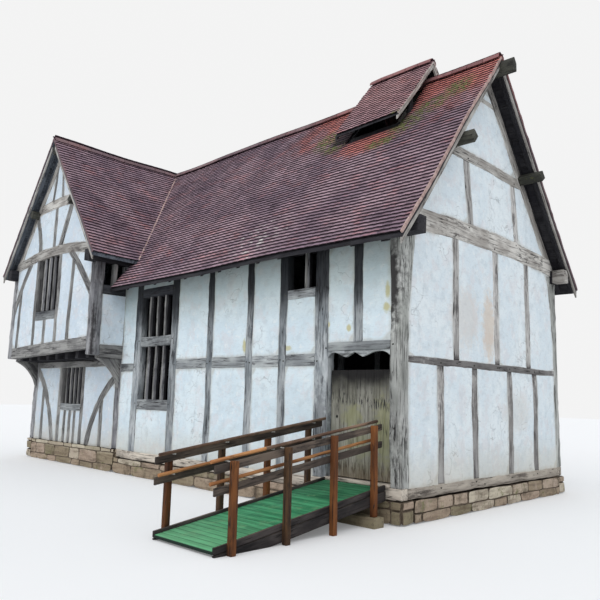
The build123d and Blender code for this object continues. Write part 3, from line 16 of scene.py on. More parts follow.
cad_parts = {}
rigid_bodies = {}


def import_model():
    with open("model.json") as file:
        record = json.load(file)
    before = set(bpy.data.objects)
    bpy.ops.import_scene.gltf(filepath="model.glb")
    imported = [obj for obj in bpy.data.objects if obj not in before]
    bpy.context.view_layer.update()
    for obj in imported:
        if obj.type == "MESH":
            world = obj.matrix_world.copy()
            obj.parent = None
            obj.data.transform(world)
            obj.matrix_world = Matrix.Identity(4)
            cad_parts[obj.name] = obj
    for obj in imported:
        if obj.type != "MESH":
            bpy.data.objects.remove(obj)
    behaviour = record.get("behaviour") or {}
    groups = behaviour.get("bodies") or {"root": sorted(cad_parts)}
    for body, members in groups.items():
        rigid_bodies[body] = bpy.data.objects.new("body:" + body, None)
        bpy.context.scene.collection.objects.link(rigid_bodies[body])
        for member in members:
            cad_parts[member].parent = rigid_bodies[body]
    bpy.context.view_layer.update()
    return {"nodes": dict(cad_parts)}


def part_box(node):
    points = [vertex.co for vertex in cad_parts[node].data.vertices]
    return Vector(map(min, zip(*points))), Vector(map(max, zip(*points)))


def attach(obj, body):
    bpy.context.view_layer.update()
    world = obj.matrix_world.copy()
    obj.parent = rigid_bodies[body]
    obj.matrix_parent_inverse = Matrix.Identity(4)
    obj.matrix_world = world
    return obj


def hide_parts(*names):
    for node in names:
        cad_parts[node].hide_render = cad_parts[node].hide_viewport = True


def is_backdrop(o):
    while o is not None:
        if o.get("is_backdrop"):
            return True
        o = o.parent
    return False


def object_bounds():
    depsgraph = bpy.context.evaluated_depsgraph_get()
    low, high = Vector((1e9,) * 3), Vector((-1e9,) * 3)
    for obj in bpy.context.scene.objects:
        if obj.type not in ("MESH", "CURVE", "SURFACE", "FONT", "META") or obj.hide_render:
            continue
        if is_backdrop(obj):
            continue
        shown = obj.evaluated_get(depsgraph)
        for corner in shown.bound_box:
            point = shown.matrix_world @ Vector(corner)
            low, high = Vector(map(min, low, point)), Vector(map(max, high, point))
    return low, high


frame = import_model()

# %% [markdown]
# ## Where the photograph was taken
# The camera stood off the right front corner, at eye height, and was tipped up a little, so the
# uprights lean together. The same place, turn, tilt and lens are used here. The focal length is
# known in pixels of a picture that is 600 of them wide, and becomes millimetres of lens.

# %% Camera
EYE = (5.576, -7.863, 1.770)
LOOK_LEFT, LOOK_UP, ROLL = math.radians(44.38), math.radians(8.648), math.radians(1.4545)
FOCAL_PIXELS, PICTURE_PIXELS, SENSOR_MM = 643.32, 600, 36
aim = Euler((math.pi / 2 + LOOK_UP, 0, LOOK_LEFT)).to_quaternion() @ Quaternion((0, 0, 1), ROLL)
bpy.ops.object.camera_add(location=EYE, rotation=aim.to_euler())
camera = bpy.context.active_object
camera.data.sensor_width = SENSOR_MM
camera.data.lens = FOCAL_PIXELS * SENSOR_MM / PICTURE_PIXELS
bpy.context.scene.camera = camera
bpy.context.scene.view_settings.view_transform = "Standard"
print("lens", round(camera.data.lens, 1), "mm")

# %% [markdown]
# ## Reading colours from a paint chart
# A paint chart gives red, green and blue from 0 to 255, as a screen shows them. The renderer
# counts light, which grows faster than those numbers, so one small function turns the first
# into the second.


# %% Colours
def colour(red, green, blue):
    """A paint chart colour as the amounts of light that the renderer counts."""
    light = [(v / 255 / 12.92) if v < 11 else ((v / 255 + 0.055) / 1.055) ** 2.4
             for v in (red, green, blue)]
    return (*light, 1.0)


print("black", colour(0, 0, 0)[:3], "white", colour(255, 255, 255)[:3])

# %% [markdown]
# ## Wiring shader nodes
# A finish is a tree of small nodes, wired from one to the next. Only one tree is wired at a time,
# and it is kept in hand, where the helpers find it. The first helper links or fills the sockets
# of a node. The second adds a node to the tree in hand.

# %% Put a node in and plug it up
hand = {"tree": None}


def plug(node, sockets):
    """Links what comes out of other nodes, and writes plain values into the other sockets."""
    for label, value in sockets.items():
        if isinstance(value, bpy.types.NodeSocket):
            node.id_data.links.new(value, node.inputs[label])
        else:
            node.inputs[label].default_value = value


def put(kind, sockets=None, **settings):
    """Adds a shader node to the tree in hand, sets its options and plugs it up."""
    node = hand["tree"].nodes.new("ShaderNode" + kind)
    for label, value in settings.items():
        setattr(node, label, value)
    plug(node, sockets or {})
    return node


print("helpers for nodes ready")

# %% [markdown]
# ## Sums on a surface
# A node can do sums with values that change from point to point. Short names for the common
# ones keep the finishes readable. Stretching a place draws every pattern out along an axis.


# %% Sums
def calc(operation, first, second=0.0):
    return put("Math", {0: first, 1: second}, operation=operation).outputs[0]


def times(first, second):
    return calc("MULTIPLY", first, second)


def plus(first, second):
    return calc("ADD", first, second)


def less(first, second):
    return calc("SUBTRACT", first, second)


def stretched(vector, x, y, z):
    """The same place measured with another step along each axis."""
    return put("VectorMath", {0: vector, 1: (x, y, z)}, operation="MULTIPLY").outputs[0]


print("helpers for sums ready")

# %% [markdown]
# ## Masks and coats of paint
# A noise gives clouds. A ramp cuts them to a mask, which is 0 where nothing happens and 1 where
# all of it does. A coat then lays a paint over what is there, where the mask says so. Nearly
# every finish below is a first colour with a dozen such coats.


# %% Masks and coats
def noise(vector, scale, detail=4.0, roughness=0.55):
    sockets = {"Vector": vector, "Scale": scale, "Detail": detail, "Roughness": roughness}
    return put("TexNoise", sockets).outputs["Fac"]


def ramp(value, low, high):
    """0 below low, 1 above high, and a smooth rise between them."""
    sockets = {"Value": value, "From Min": low, "From Max": high}
    return put("MapRange", sockets, interpolation_type="SMOOTHSTEP").outputs["Result"]


def mixed(amount, first, second, blend_type="MIX"):
    """From the first colour to the second. Three plain numbers are a paint chart colour."""
    paints = [colour(*paint) if isinstance(paint, tuple) else paint for paint in (first, second)]
    sockets = {0: amount, 6: paints[0], 7: paints[1]}
    return put("Mix", sockets, data_type="RGBA", blend_type=blend_type).outputs[2]


def coat(under, paint, mask, strength=None):
    """Lays a paint over what is there, where a mask says so, thin or thick by its strength."""
    return mixed(mask if strength is None else times(mask, strength), under, paint)


def shaded(paint, factor):
    """A colour made lighter or darker by a factor that changes over the surface."""
    level = put("CombineXYZ", {0: factor, 1: factor, 2: factor}).outputs[0]
    return mixed(1.0, paint, level, "MULTIPLY")


print("helpers for paint ready")

# %% [markdown]
# ## Effects shared by several finishes
# Grain, dirt and moss turn up on many pieces. Each is a node group: a small machine with named
# inputs and outputs, built once and put into every material that needs it.


# %% The start of a node group
def new_group(name, inputs, outputs):
    """An empty shader group in hand: the group, what it is given, and its end to plug up."""
    group = bpy.data.node_groups.new(name, "ShaderNodeTree")
    new_socket = group.interface.new_socket
    for label, kind, start in inputs:
        socket = new_socket(name=label, in_out="INPUT", socket_type="NodeSocket" + kind)
        if start is not None:
            socket.default_value = start
    for label in outputs:
        new_socket(name=label, in_out="OUTPUT", socket_type="NodeSocketFloat")
    hand["tree"] = group
    return group, group.nodes.new("NodeGroupInput").outputs, group.nodes.new("NodeGroupOutput")


print("ready for groups")

# %% [markdown]
# ### Oak grain
# Oak left in the weather opens along its length: fine streaks, a few long drying splits, and
# wide patches where rain has washed one part more than another. The pattern is one noise,
# drawn out lengthwise. It reads the place along and across each timber, not the place in the
# house, so the grain runs up a stud, along a rail and down the slope of a rafter.

# %% Grain group
grain_group, grain_in, grain_out = new_group(
    "oak_grain", [("Place", "Vector", None), ("Fineness", "Float", 1.0)],
    ["Streaks", "Splits", "Patches"])
scaling = {0: grain_in["Place"], "Scale": grain_in["Fineness"]}
place = put("VectorMath", scaling, operation="SCALE").outputs[0]
streaks = noise(stretched(place, 1.6, 30, 30), 1.0, 6, 0.65)
middle_line = calc("ABSOLUTE", less(noise(stretched(place, 0.7, 13, 13), 1.0, 2), 0.5))
thin = less(1.0, ramp(middle_line, 0.004, 0.022))
here_and_there = ramp(noise(place, 2.3, 2), 0.46, 0.6)
patches = noise(stretched(place, 1.5, 4, 4), 1.0, 4, 0.6)
plug(grain_out, {"Streaks": streaks, "Splits": times(thin, here_and_there), "Patches": patches})
print("group", grain_group.name)

# %% [markdown]
# ### Splashes from the ground
# Splashed earth reaches a hand or two up from the ground, with a wandering upper edge. Like the
# two groups after it, this one puts out a mask: a value from 0 to 1 over the surface.

# %% Splash group
splash_group, splash_in, splash_out = new_group(
    "ground_splash", [("Place", "Vector", None), ("Top", "Float", 0.6), ("Reach", "Float", 0.5)],
    ["Mask"])
height = put("SeparateXYZ", {0: splash_in["Place"]}).outputs["Z"]
level = less(height, times(noise(splash_in["Place"], 3.0), 0.5))
share = calc("DIVIDE", less(splash_in["Top"], level), splash_in["Reach"])
plug(splash_out, {"Mask": ramp(share, 0.0, 1.0)})
print("group", splash_group.name)

# %% [markdown]
# ### Growth in the damp
# Moss and lichen come in soft cushions with ragged edges. A fine noise makes the cushions and a
# wide one says where there are many. What passes a bar, which a finish sets, is overgrown.

# %% Growth group
growth_group, growth_in, growth_out = new_group(
    "damp_growth", [("Place", "Vector", None), ("Amount", "Float", 0.5)], ["Mask", "Cushion"])
clumps = noise(growth_in["Place"], 9.0, 5, 0.7)
both = plus(clumps, times(noise(growth_in["Place"], 1.7, 3), 0.5))
over = less(both, less(1.25, growth_in["Amount"]))
plug(growth_out, {"Mask": ramp(over, 0.0, 0.12), "Cushion": clumps})
print("group", growth_group.name)

# %% [markdown]
# ### Painted shade under the eaves
# Under deep eaves little light from the sky reaches the wall. This mask paints that shade, darker
# upward; on the limewash it also stands for some grime.

# %% Eaves shade group
eaves_shade_group, eaves_shade_in, eaves_shade_out = new_group(
    "eaves_painted_shade", [("Place", "Vector", None), ("Top", "Float", 4.0), ("Reach", "Float", 1.0)],
    ["Mask"])
height = put("SeparateXYZ", {0: eaves_shade_in["Place"]}).outputs["Z"]
above = less(plus(height, times(noise(eaves_shade_in["Place"], 4.0), 0.3)), eaves_shade_in["Top"])
share = plus(calc("DIVIDE", above, eaves_shade_in["Reach"]), 1.0)
plug(eaves_shade_out, {"Mask": ramp(share, 0.0, 1.0)})
print("group", eaves_shade_group.name)

# %% [markdown]
# ## Finishes
# Every material starts in the same way: a Principled shader, and the place on the object that
# its patterns read. The first helper makes that start. The others put a group in with its own
# values, turn a height to bump, and read a value that is kept on the mesh.


# %% The start of a finish
def new_finish(name, roughness=0.85, specular=0.3):
    """A material with its tree in hand: the material, its shader and the place on the object."""
    material = bpy.data.materials.new(name)
    material.use_nodes = True
    hand["tree"] = material.node_tree
    shader = material.node_tree.nodes["Principled BSDF"]
    plug(shader, {"Roughness": roughness, "Specular IOR Level": specular})
    return material, shader, put("TexCoord").outputs["Object"]


def use_group(group, **sockets):
    return put("Group", sockets, node_tree=group).outputs


def raise_up(shader, height, distance, strength=0.8):
    """Feeds a height, in metres of relief, to the shader as bump."""
    bump = put("Bump", {"Height": height, "Distance": distance, "Strength": strength})
    plug(shader, {"Normal": bump.outputs["Normal"]})


def own(name, kind="Fac"):
    """A value that is kept on the mesh itself, point by point."""
    return put("Attribute", attribute_name=name).outputs[kind]


print("ready for finishes")

# %% [markdown]
# ### Stains with a place of their own
# Some marks stand at one spot of the house: a dark stain beside the door, lichen on one panel.
# Such a stain is given by its middle and its size along x, y and z, in metres. Sizes that are
# large along one axis make it run through the wall. A noise frays its edge.


# %% Stains
def patch_at(here, middle, size, wander=0.6):
    """1 in the middle of a stain and 0 beyond its size."""
    offset = put("VectorMath", {0: here, 1: middle}, operation="SUBTRACT").outputs[0]
    scaled = put("VectorMath", {0: offset, 1: size}, operation="DIVIDE").outputs[0]
    far = put("VectorMath", {0: scaled}, operation="LENGTH").outputs["Value"]
    shaken = plus(far, times(less(noise(here, 11, 5, 0.6), 0.5), wander * 2))
    return less(1.0, ramp(shaken, 0.4, 1.0))


print("ready for stains")

# %% [markdown]
# ### Weathered oak
# Outdoors, oak turns from brown to a silver grey, darker in the streaks and nearly black in the
# splits. Timbers in the gable keep more of their brown, and the ones at the back of a deep eave
# are painted dark with its shade. One function makes all of these from a pale, a middle and a dark
# colour.


# %% The oak finish
def oak_finish(name, pale, middle, dark, green=0.0, relief=0.006, eaves_shade=None, shade_colour=(26, 27, 36),
               spots=()):
    """The eaves pair is the height where the painted shade under the eaves is full, and how far down
    it reaches; the colour after it is the colour of that painted shade. A spot is a dark mark: its
    middle, its size and its strength. The spots in the windows are painted shade, the others stains."""
    material, shader, here = new_finish(name, 0.82)
    along = own("along", "Vector")
    grain = use_group(grain_group, Place=along)
    tint = mixed(ramp(grain["Patches"], 0.36, 0.64), middle, pale)
    tint = coat(tint, dark, ramp(grain["Streaks"], 0.48, 0.68), 0.85)
    tint = shaded(tint, plus(times(own("tone"), 0.4), 0.8))
    if green:
        growth = use_group(growth_group, Place=here, Amount=green)
        tint = coat(tint, (122, 124, 72), growth["Mask"], 0.6)
    knots = noise(stretched(along, 1.1, 5, 5), 1.0, 6, 0.75)
    tint = coat(tint, dark, ramp(knots, 0.55, 0.63), 0.75)
    washed = noise(stretched(along, 0.8, 9, 9), 1.0, 5, 0.7)
    tint = coat(tint, pale, ramp(washed, 0.56, 0.7), 0.4)
    for spot, size, strength in spots:
        tint = coat(tint, dark, patch_at(here, spot, size), strength)
    # Painted shade under the eaves, in the colour given for it.
    if eaves_shade:
        painted_shade = use_group(eaves_shade_group, Place=here, Top=eaves_shade[0], Reach=eaves_shade[1])
        tint = coat(tint, shade_colour, painted_shade["Mask"], 0.92)
    tint = coat(tint, dark, own("edge"), times(ramp(grain["Patches"], 0.4, 0.6), 0.75))
    tint = coat(tint, (30, 27, 27), grain["Splits"], 0.9)
    rough = plus(times(grain["Streaks"], 0.2), 0.7)
    plug(shader, {"Base Color": tint, "Roughness": rough})
    raise_up(shader, less(times(grain["Streaks"], 0.5), grain["Splits"]), relief)
    return material


print("ready for oak")

# %% [markdown]
# The oak in the front wall stands under the eaves, so its heads are painted black with the shade
# there. The post beside the door is stained, and the jowl of the corner post has a dark strip where
# it leaves the wall.

# %% Oak of the front wall and the corners
BESIDE_THE_DOOR = [((-1.6, 0, 1.2), (0.25, 0.5, 1.0), 0.5)]
AT_THE_HALL_WINDOW = [((-6.3, 0, 1.9), (0.75, 0.5, 1.7), 0.5)]
DOWN_THE_CORNER_POST = [
    ((-0.21, 0, 3.55), (0.27, 0.6, 0.95), 0.97), ((-0.14, 0, 1.9), (0.5, 0.6, 1.3), 0.35),
    ((-0.3, 0, 1.2), (0.16, 0.6, 1.6), 0.5), ((-0.14, 0, 0.8), (0.5, 0.6, 0.9), 0.2)]
ON_THE_WING_POST = [
    ((-7.86, -0.85, 3.1), (0.1, 0.2, 1.1), 0.85), ((-7.95, -0.8, 4.6), (0.4, 0.5, 0.5), 0.5)]
front_oak = oak_finish("front_oak", (180, 184, 186), (130, 136, 140), (44, 46, 52), 0.2,
                       eaves_shade=(3.85, 0.8), shade_colour=(10, 13, 20), spots=BESIDE_THE_DOOR)
rail_oak = oak_finish("rail_oak", (180, 184, 184), (144, 148, 150), (70, 70, 74), 0.25,
                      eaves_shade=(4.1, 0.7), spots=AT_THE_HALL_WINDOW)
corner_oak = oak_finish("corner_oak", (196, 197, 193), (156, 158, 153), (50, 48, 48), 0.3,
                        spots=DOWN_THE_CORNER_POST)
old_oak = oak_finish("old_oak", (176, 176, 178), (128, 128, 132), (34, 30, 32), 0.2,
                     spots=ON_THE_WING_POST)
print("oak of the front wall:", front_oak.name, rail_oak.name, corner_oak.name, old_oak.name)

# %% [markdown]
# The wing is darker, and the gables are paler and bleached at the foot. Rafters under the tiles and
# the inner sides of window bars, which the weather never reaches, are brown or black, and their
# colours also paint the shade they stand in.

# %% Oak of the wing, the gables and the shaded places
UP_THE_GABLE = [
    ((0, 2.8, 0.8), (0.9, 5.5, 1.7), 0.5), ((0, 2.8, 2.39), (0.9, 5.5, 0.2), 0.8),
    ((0, 1.0, 3.4), (0.9, 0.7, 1.2), 0.25)]
# Painted shade on the sides of the bars deep in the windows.
SHADE_IN_THE_WINDOWS = [((-6.3, 0, 3.4), (1.6, 0.6, 1.3), 0.8), ((-10.1, 0, 1.9), (1.3, 0.6, 1.1), 0.4)]
wing_oak = oak_finish("wing_oak", (152, 151, 148), (114, 113, 112), (52, 50, 52), 0.2)
pale_oak = oak_finish("pale_oak", (200, 197, 191), (156, 151, 145), (72, 66, 64), 0.15)
gable_oak = oak_finish("gable_oak", (208, 206, 203), (166, 163, 160), (70, 66, 66), 0.15,
                       spots=UP_THE_GABLE)
dark_oak = oak_finish("dark_oak", (76, 76, 68), (54, 54, 48), (30, 29, 28), 0.35)
# Near black for soot and painted shade together, for what stands in the dark.
soot_and_shade_oak = oak_finish("soot_and_shade_oak", (50, 49, 52), (34, 33, 38), (20, 19, 24))
foot_oak = oak_finish("foot_oak", (206, 196, 182), (172, 162, 150), (84, 76, 70), 0.3)
# The sides of the window bars, painted with the shade of the window.
shaded_bar_side_oak = oak_finish("shaded_bar_side_oak", (176, 177, 180), (134, 134, 138), (60, 58, 60),
                          spots=SHADE_IN_THE_WINDOWS)
# Painted shade of the undersides of the roof, in a dark blue grey.
soffit_oak = oak_finish("soffit_oak", (100, 106, 114), (76, 82, 90), (36, 38, 46))
print("materials so far:", len(bpy.data.materials))

# %% [markdown]
# ### Limewash over daub
# Daub is clay and straw pressed by hand, so it swells and dips. Limewash is brushed on in thin
# coats, a cool white that hides nothing of that. It soils along the timbers and near the ground.
# The panels carry a value named rim, 1 at their edges, that tells the dirt where to gather.


# %% Cracks
def hairlines(here):
    """Fine cracks: the edges between cells, in a place that a noise has bent."""
    wander = put("TexNoise", {"Vector": here, "Scale": 3.0}).outputs["Color"]
    bent = put("VectorMath", {0: stretched(here, 1.3, 1.3, 0.9), 1: wander}, operation="ADD")
    cells = {"Vector": bent.outputs[0], "Scale": 1.6}
    crack = put("TexVoronoi", cells, feature="DISTANCE_TO_EDGE").outputs["Distance"]
    return less(1.0, ramp(crack, 0.003, 0.012))


print("ready for cracks")

# %% [markdown]
# The wash goes on coat by coat: clouds of two whites, then brush marks, rosy, fresh and worn
# places and chips, and over them the cracks, the soiled rim, the splashes and the stains.


# %% The limewash finish
def wash_finish(name, first, second, eaves_shade=None, stains=()):
    """eaves as for oak. Each stain is its middle, its size, its colour and its strength."""
    material, shader, here = new_finish(name, 0.93, 0.15)
    lumps = noise(here, 5.5, 5, 0.6)
    brushed = noise(stretched(here, 9, 9, 34), 1.0, 4, 0.6)
    clouds = noise(here, 1.1, 4, 0.6)
    rosy = noise(here, 2.6, 5, 0.65)
    fresh = noise(here, 7.5, 5, 0.7)
    worn_thin = noise(here, 13, 6, 0.7)
    chips = noise(here, 46, 3, 0.6)
    white = mixed(ramp(clouds, 0.38, 0.62), first, second)
    for pattern, low, high, strength, paint in (
            (lumps, 0.48, 0.68, 0.45, (198, 209, 215)), (brushed, 0.52, 0.7, 0.3, (192, 203, 212)),
            (rosy, 0.5, 0.62, 0.4, (222, 218, 220)), (fresh, 0.56, 0.64, 0.5, (240, 245, 246)),
            (worn_thin, 0.6, 0.72, 0.4, (188, 186, 176)), (chips, 0.69, 0.73, 0.5, (142, 140, 134))):
        white = coat(white, paint, ramp(pattern, low, high), strength)
    hairline = times(hairlines(here), ramp(clouds, 0.5, 0.6))
    white = coat(white, (128, 128, 126), hairline, 0.35)
    ragged_rim = ramp(plus(own("rim"), times(lumps, 0.6)), 0.75, 1.5)
    white = coat(white, (178, 172, 158), ragged_rim, 0.6)
    splash = use_group(splash_group, Place=here, Top=1.0, Reach=0.7)
    white = coat(white, (196, 188, 170), splash["Mask"], 0.45)
    for middle, size, paint, strength in stains:
        white = coat(white, paint, patch_at(here, middle, size), strength)
    # Painted shade under the eaves, in a green grey that takes in some grime.
    if eaves_shade:
        painted_shade = use_group(eaves_shade_group, Place=here, Top=eaves_shade[0], Reach=eaves_shade[1])
        white = coat(white, (112, 128, 112), painted_shade["Mask"], 0.45)
    plug(shader, {"Base Color": white})
    relieved = plus(lumps, times(brushed, 0.25))
    raise_up(shader, less(relieved, times(hairline, 0.4)), 0.016, 0.9)
    return material


print("ready for limewash")

# %% [markdown]
# Three walls, three washes. The front has spots of lichen, and under the eaves it is painted a
# green grey that stands for shade and grime together. The gable has an ochre stain beside its
# post. The wing is a little bluer and darker.

# %% Limewash of the walls
LICHEN, OCHRE, DUN, SOILED = (196, 186, 128), (212, 186, 158), (216, 208, 200), (210, 206, 198)
ON_THE_FRONT = [
    ((-1.46, 0, 2.98), (0.05, 0.3, 0.07), LICHEN, 0.8),
    ((-1.01, 0, 2.90), (0.06, 0.3, 0.08), LICHEN, 0.8),
    ((-3.55, 0, 2.70), (0.07, 0.3, 0.18), LICHEN, 0.8),
    ((-2.40, 0, 2.62), (0.13, 0.3, 0.06), LICHEN, 0.7),
    ((-0.26, 0, 3.44), (0.06, 0.3, 0.16), LICHEN, 0.8),
    ((-0.28, 0, 3.17), (0.09, 0.3, 0.1), LICHEN, 0.8)]
ON_THE_GABLE = [
    ((0, 2.70, 3.1), (0.6, 0.30, 0.85), OCHRE, 0.55), ((0, 1.9, 3.2), (0.6, 0.6, 0.7), DUN, 0.5),
    ((0, 3.7, 1.6), (0.6, 0.7, 0.5), SOILED, 0.4)]
front_wash = wash_finish("front_limewash", (217, 232, 240), (228, 240, 245), (4.15, 1.1), ON_THE_FRONT)
gable_wash = wash_finish("gable_limewash", (222, 233, 239), (233, 241, 244), None, ON_THE_GABLE)
wing_wash = wash_finish("wing_limewash", (208, 221, 232), (220, 231, 239))
print("limewash made:", front_wash.name, gable_wash.name, wing_wash.name)

# %% [markdown]
# ### Clay tiles
# Handmade tiles weather to a mauve brown that hardly differs from tile to tile. What draws the
# roof is its courses: the nose of each tile and the top of the tile below it, under the next nose,
# are painted almost black with shade and dirt, so dark and light lines alternate all the way up.
#
# The tiles read a few large masks, so these come first. Towards the gable end of the ridge the
# clay is redder, and so it is in a patch under the louvre. The louvre also throws a dark shadow
# on the slope below it, and some tiles near the eave are flecked with white.


# %% Where the clay is red, shaded or flecked
def newer_clay(here, axes):
    """1 on the redder tiles near the gable end of the ridge and below the louvre."""
    wander = times(less(noise(here, 1.6, 5, 0.65), 0.5), 2.2)
    up = plus(axes["Z"], wander)
    right = plus(axes["X"], times(wander, 1.6))
    fresh = times(ramp(up, 6.8, 7.8), ramp(right, -5.2, -3.4))
    below_the_louvre = patch_at(here, (-1.95, 2.8, 6.75), (1.0, 9.0, 0.42), 0.5)
    return calc("MAXIMUM", fresh, below_the_louvre)


def louvre_shadow(axes):
    along = times(ramp(axes["X"], -3.2, -3.0), ramp(axes["X"], -1.2, -1.3))
    up = times(ramp(axes["Z"], 6.97, 7.05), ramp(axes["Z"], 7.75, 7.6))
    return times(along, up)


def chalk_flecks(here):
    chalk = patch_at(here, (-3.2, 0, 4.7), (0.8, 1.4, 0.55), 0.9)
    flecks = ramp(noise(stretched(here, 0.6, 1, 1.6), 9, 4, 0.7), 0.54, 0.6)
    return times(chalk, flecks)


print("masks of the roof ready")

# %% [markdown]
# Moss grows in a band that runs down from the ridge on both sides of the louvre. Six patches in
# a row draw the band, a noise breaks it into clumps, and a thin growth covers the rest.

# %% Where the moss grows
MOSS_PATCHES = [
    ((-0.36, 2.8, 7.68), (0.42, 9.0, 0.36)), ((-0.78, 2.8, 7.34), (0.45, 9.0, 0.36)),
    ((-1.15, 2.8, 6.98), (0.48, 9.0, 0.34)), ((-3.4, 2.8, 7.3), (0.42, 9.0, 0.4)),
    ((-2.95, 2.8, 6.95), (0.4, 9.0, 0.22)), ((-1.5, 2.8, 6.6), (0.5, 9.0, 0.2))]


def moss_on_tiles(here, amount):
    growth = use_group(growth_group, Place=here, Amount=amount)
    band = patch_at(here, *MOSS_PATCHES[0], 0.5)
    for middle, size in MOSS_PATCHES[1:]:
        band = calc("MAXIMUM", band, patch_at(here, middle, size, 0.5))
    clumps = ramp(noise(here, 12, 6, 0.8), 0.46, 0.51)
    return calc("MAXIMUM", times(band, clumps), times(growth["Mask"], 0.6))


print("moss in", len(MOSS_PATCHES), "patches")

# %% [markdown]
# The finish itself starts from two colours in broad clouds. Each tile has a random value named
# shade, and the value named course counts from 0 at a tile's nose to 1 where the next begins.


# %% The tile finish
def tile_finish(name, first, second, red, dark, moss=0.22, nose_shade=0.0, redness=0.75, shadowed=0.0):
    """The value for the noses is the painted shade and soot on a tile's end,
    and shadowed how deep the louvre's painted shadow is.
    """
    material, shader, here = new_finish(name, 0.85, 0.25)
    axes = put("SeparateXYZ", {0: here}).outputs
    tint = mixed(ramp(noise(here, 0.8, 4, 0.6), 0.36, 0.64), first, second)
    ruddy = noise(stretched(here, 1, 1, 2.5), 1.8, 6, 0.75)
    tint = coat(tint, red, ramp(ruddy, 0.5, 0.7), 0.3)
    tint = coat(tint, red, newer_clay(here, axes), redness)
    tint = shaded(tint, plus(times(ramp(own("shade"), 0.0, 1.0), 0.3), 0.88))
    tint = coat(tint, dark, ramp(noise(here, 4.2, 5, 0.65), 0.5, 0.72), 0.45)
    tint = coat(tint, (196, 186, 180), ramp(noise(here, 24, 3, 0.7), 0.66, 0.71), 0.4)
    tint = coat(tint, (226, 218, 214), chalk_flecks(here), 0.9)
    # Painted shadow and dirt on the top of each tile, under the nose of the next.
    shade_under_noses = ramp(plus(own("course"), times(noise(here, 9, 4), 0.3)), 0.56, 0.88)
    tint = coat(tint, dark, shade_under_noses, 0.93)
    # The noses are painted dark with shade and soot.
    if nose_shade:
        tint = coat(tint, dark, nose_shade)
    mossy = moss_on_tiles(here, moss)
    olive = mixed(ramp(noise(here, 19, 4, 0.7), 0.4, 0.62), (82, 92, 48), (136, 140, 88))
    tint = coat(tint, olive, mossy, 0.92)
    tint = coat(tint, dark, times(mossy, shade_under_noses), 0.4)
    tint = coat(tint, (22, 18, 26), louvre_shadow(axes), shadowed)
    plug(shader, {"Base Color": tint})
    raise_up(shader, plus(times(noise(here, 60, 4, 0.6), 0.4), mossy), 0.006)
    return material


print("ready for tiles")

# %% [markdown]
# Four finishes come from it: the tiles, their noses painted dark with shade and soot, the paler
# tiles of the louvre, and the browner clay of the ridge tiles.

# %% Tiles, noses, louvre and ridge
MAUVE, BROWN, RED, BLACK = (170, 143, 153), (136, 114, 127), (222, 126, 108), (42, 30, 40)
clay_tile = tile_finish("clay_tile", MAUVE, BROWN, RED, BLACK, shadowed=0.9)
tile_nose = tile_finish("tile_nose", (86, 66, 70), (72, 56, 62), (104, 56, 52), (32, 24, 30), 0.22, 0.8)
louvre_tile = tile_finish("louvre_tile", (190, 156, 160), (168, 138, 146), RED, BLACK, 0.2, 0, 0.15)
ridge_clay = tile_finish("ridge_clay", (130, 108, 110), (108, 90, 96), (156, 92, 84), (62, 50, 52),
                         0.3, 0, 0.4)
print("tile finishes:", clay_tile.name, tile_nose.name, louvre_tile.name, ridge_clay.name)

# %% [markdown]
# ### Mortar, earth, iron, and soot with painted shade
# These show in thin lines and dark corners, so one plain finish serves for all: three colours in
# clouds of two sizes, with a grain of the same pattern.


# %% The plain finishes
def plain_finish(name, first, second, third, scale, relief, roughness=0.85):
    material, shader, here = new_finish(name, roughness)
    broad = noise(here, scale, 5, 0.6)
    small = noise(here, scale * 7, 5, 0.65)
    tint = mixed(ramp(broad, 0.38, 0.62), first, second)
    tint = coat(tint, third, ramp(small, 0.45, 0.7), 0.7)
    plug(shader, {"Base Color": tint, "Roughness": plus(times(small, 0.25), roughness - 0.12)})
    raise_up(shader, plus(small, times(broad, 2)), relief)
    return material


mortar = plain_finish("mortar", (206, 198, 192), (178, 168, 162), (138, 126, 120), 9, 0.006, 0.95)
pink_mortar = plain_finish("pink_mortar", (198, 172, 164), (164, 138, 132), (118, 96, 92), 9,
                           0.006, 0.95)
joint_earth = plain_finish("joint_earth", (118, 104, 88), (92, 80, 68), (66, 56, 48), 20, 0.01)
packed_earth = plain_finish("packed_earth", (72, 62, 52), (58, 50, 42), (40, 34, 30), 3, 0.01, 0.95)
black_iron = plain_finish("black_iron", (48, 46, 46), (66, 50, 42), (34, 32, 32), 20, 0.002, 0.6)
zinc = plain_finish("zinc", (190, 188, 182), (160, 158, 154), (112, 104, 96), 24, 0.001, 0.5)
# The soot finish also paints the shade inside the house.
soot_and_shade = plain_finish("soot_and_shade", (40, 38, 38), (28, 26, 28), (18, 17, 18), 2, 0.008, 0.95)
print("materials so far:", len(bpy.data.materials))

# %% [markdown]
# ### Timber of the ramp
# The ramp is young softwood: red brown stain on the posts, dark brown boards, and grey weathered
# poles of which the lower ones are newer. Softwood has the same streaks and splits as the oak,
# so the oak finish makes these too, with browner colours.

# %% Ramp timber
post_wood = oak_finish("ramp_post_wood", (124, 76, 38), (94, 54, 26), (48, 30, 22), 0.1, 0.004)
far_post_wood = oak_finish("ramp_far_post_wood", (92, 66, 42), (66, 46, 32), (32, 25, 21), 0.3, 0.004)
bearer_wood = oak_finish("ramp_bearer_wood", (72, 66, 64), (38, 34, 34), (14, 12, 14), 0.1, 0.006)
board_wood = oak_finish("ramp_board_wood", (96, 84, 74), (60, 52, 47), (30, 26, 26), 0.15, 0.006)
pole_wood = oak_finish("ramp_pole_wood", (132, 108, 90), (92, 68, 54), (48, 34, 30), 0, 0.004)
low_pole_wood = oak_finish("ramp_low_pole_wood", (190, 136, 88), (156, 104, 64), (92, 58, 38), 0, 0.004)
print("materials so far:", len(bpy.data.materials))

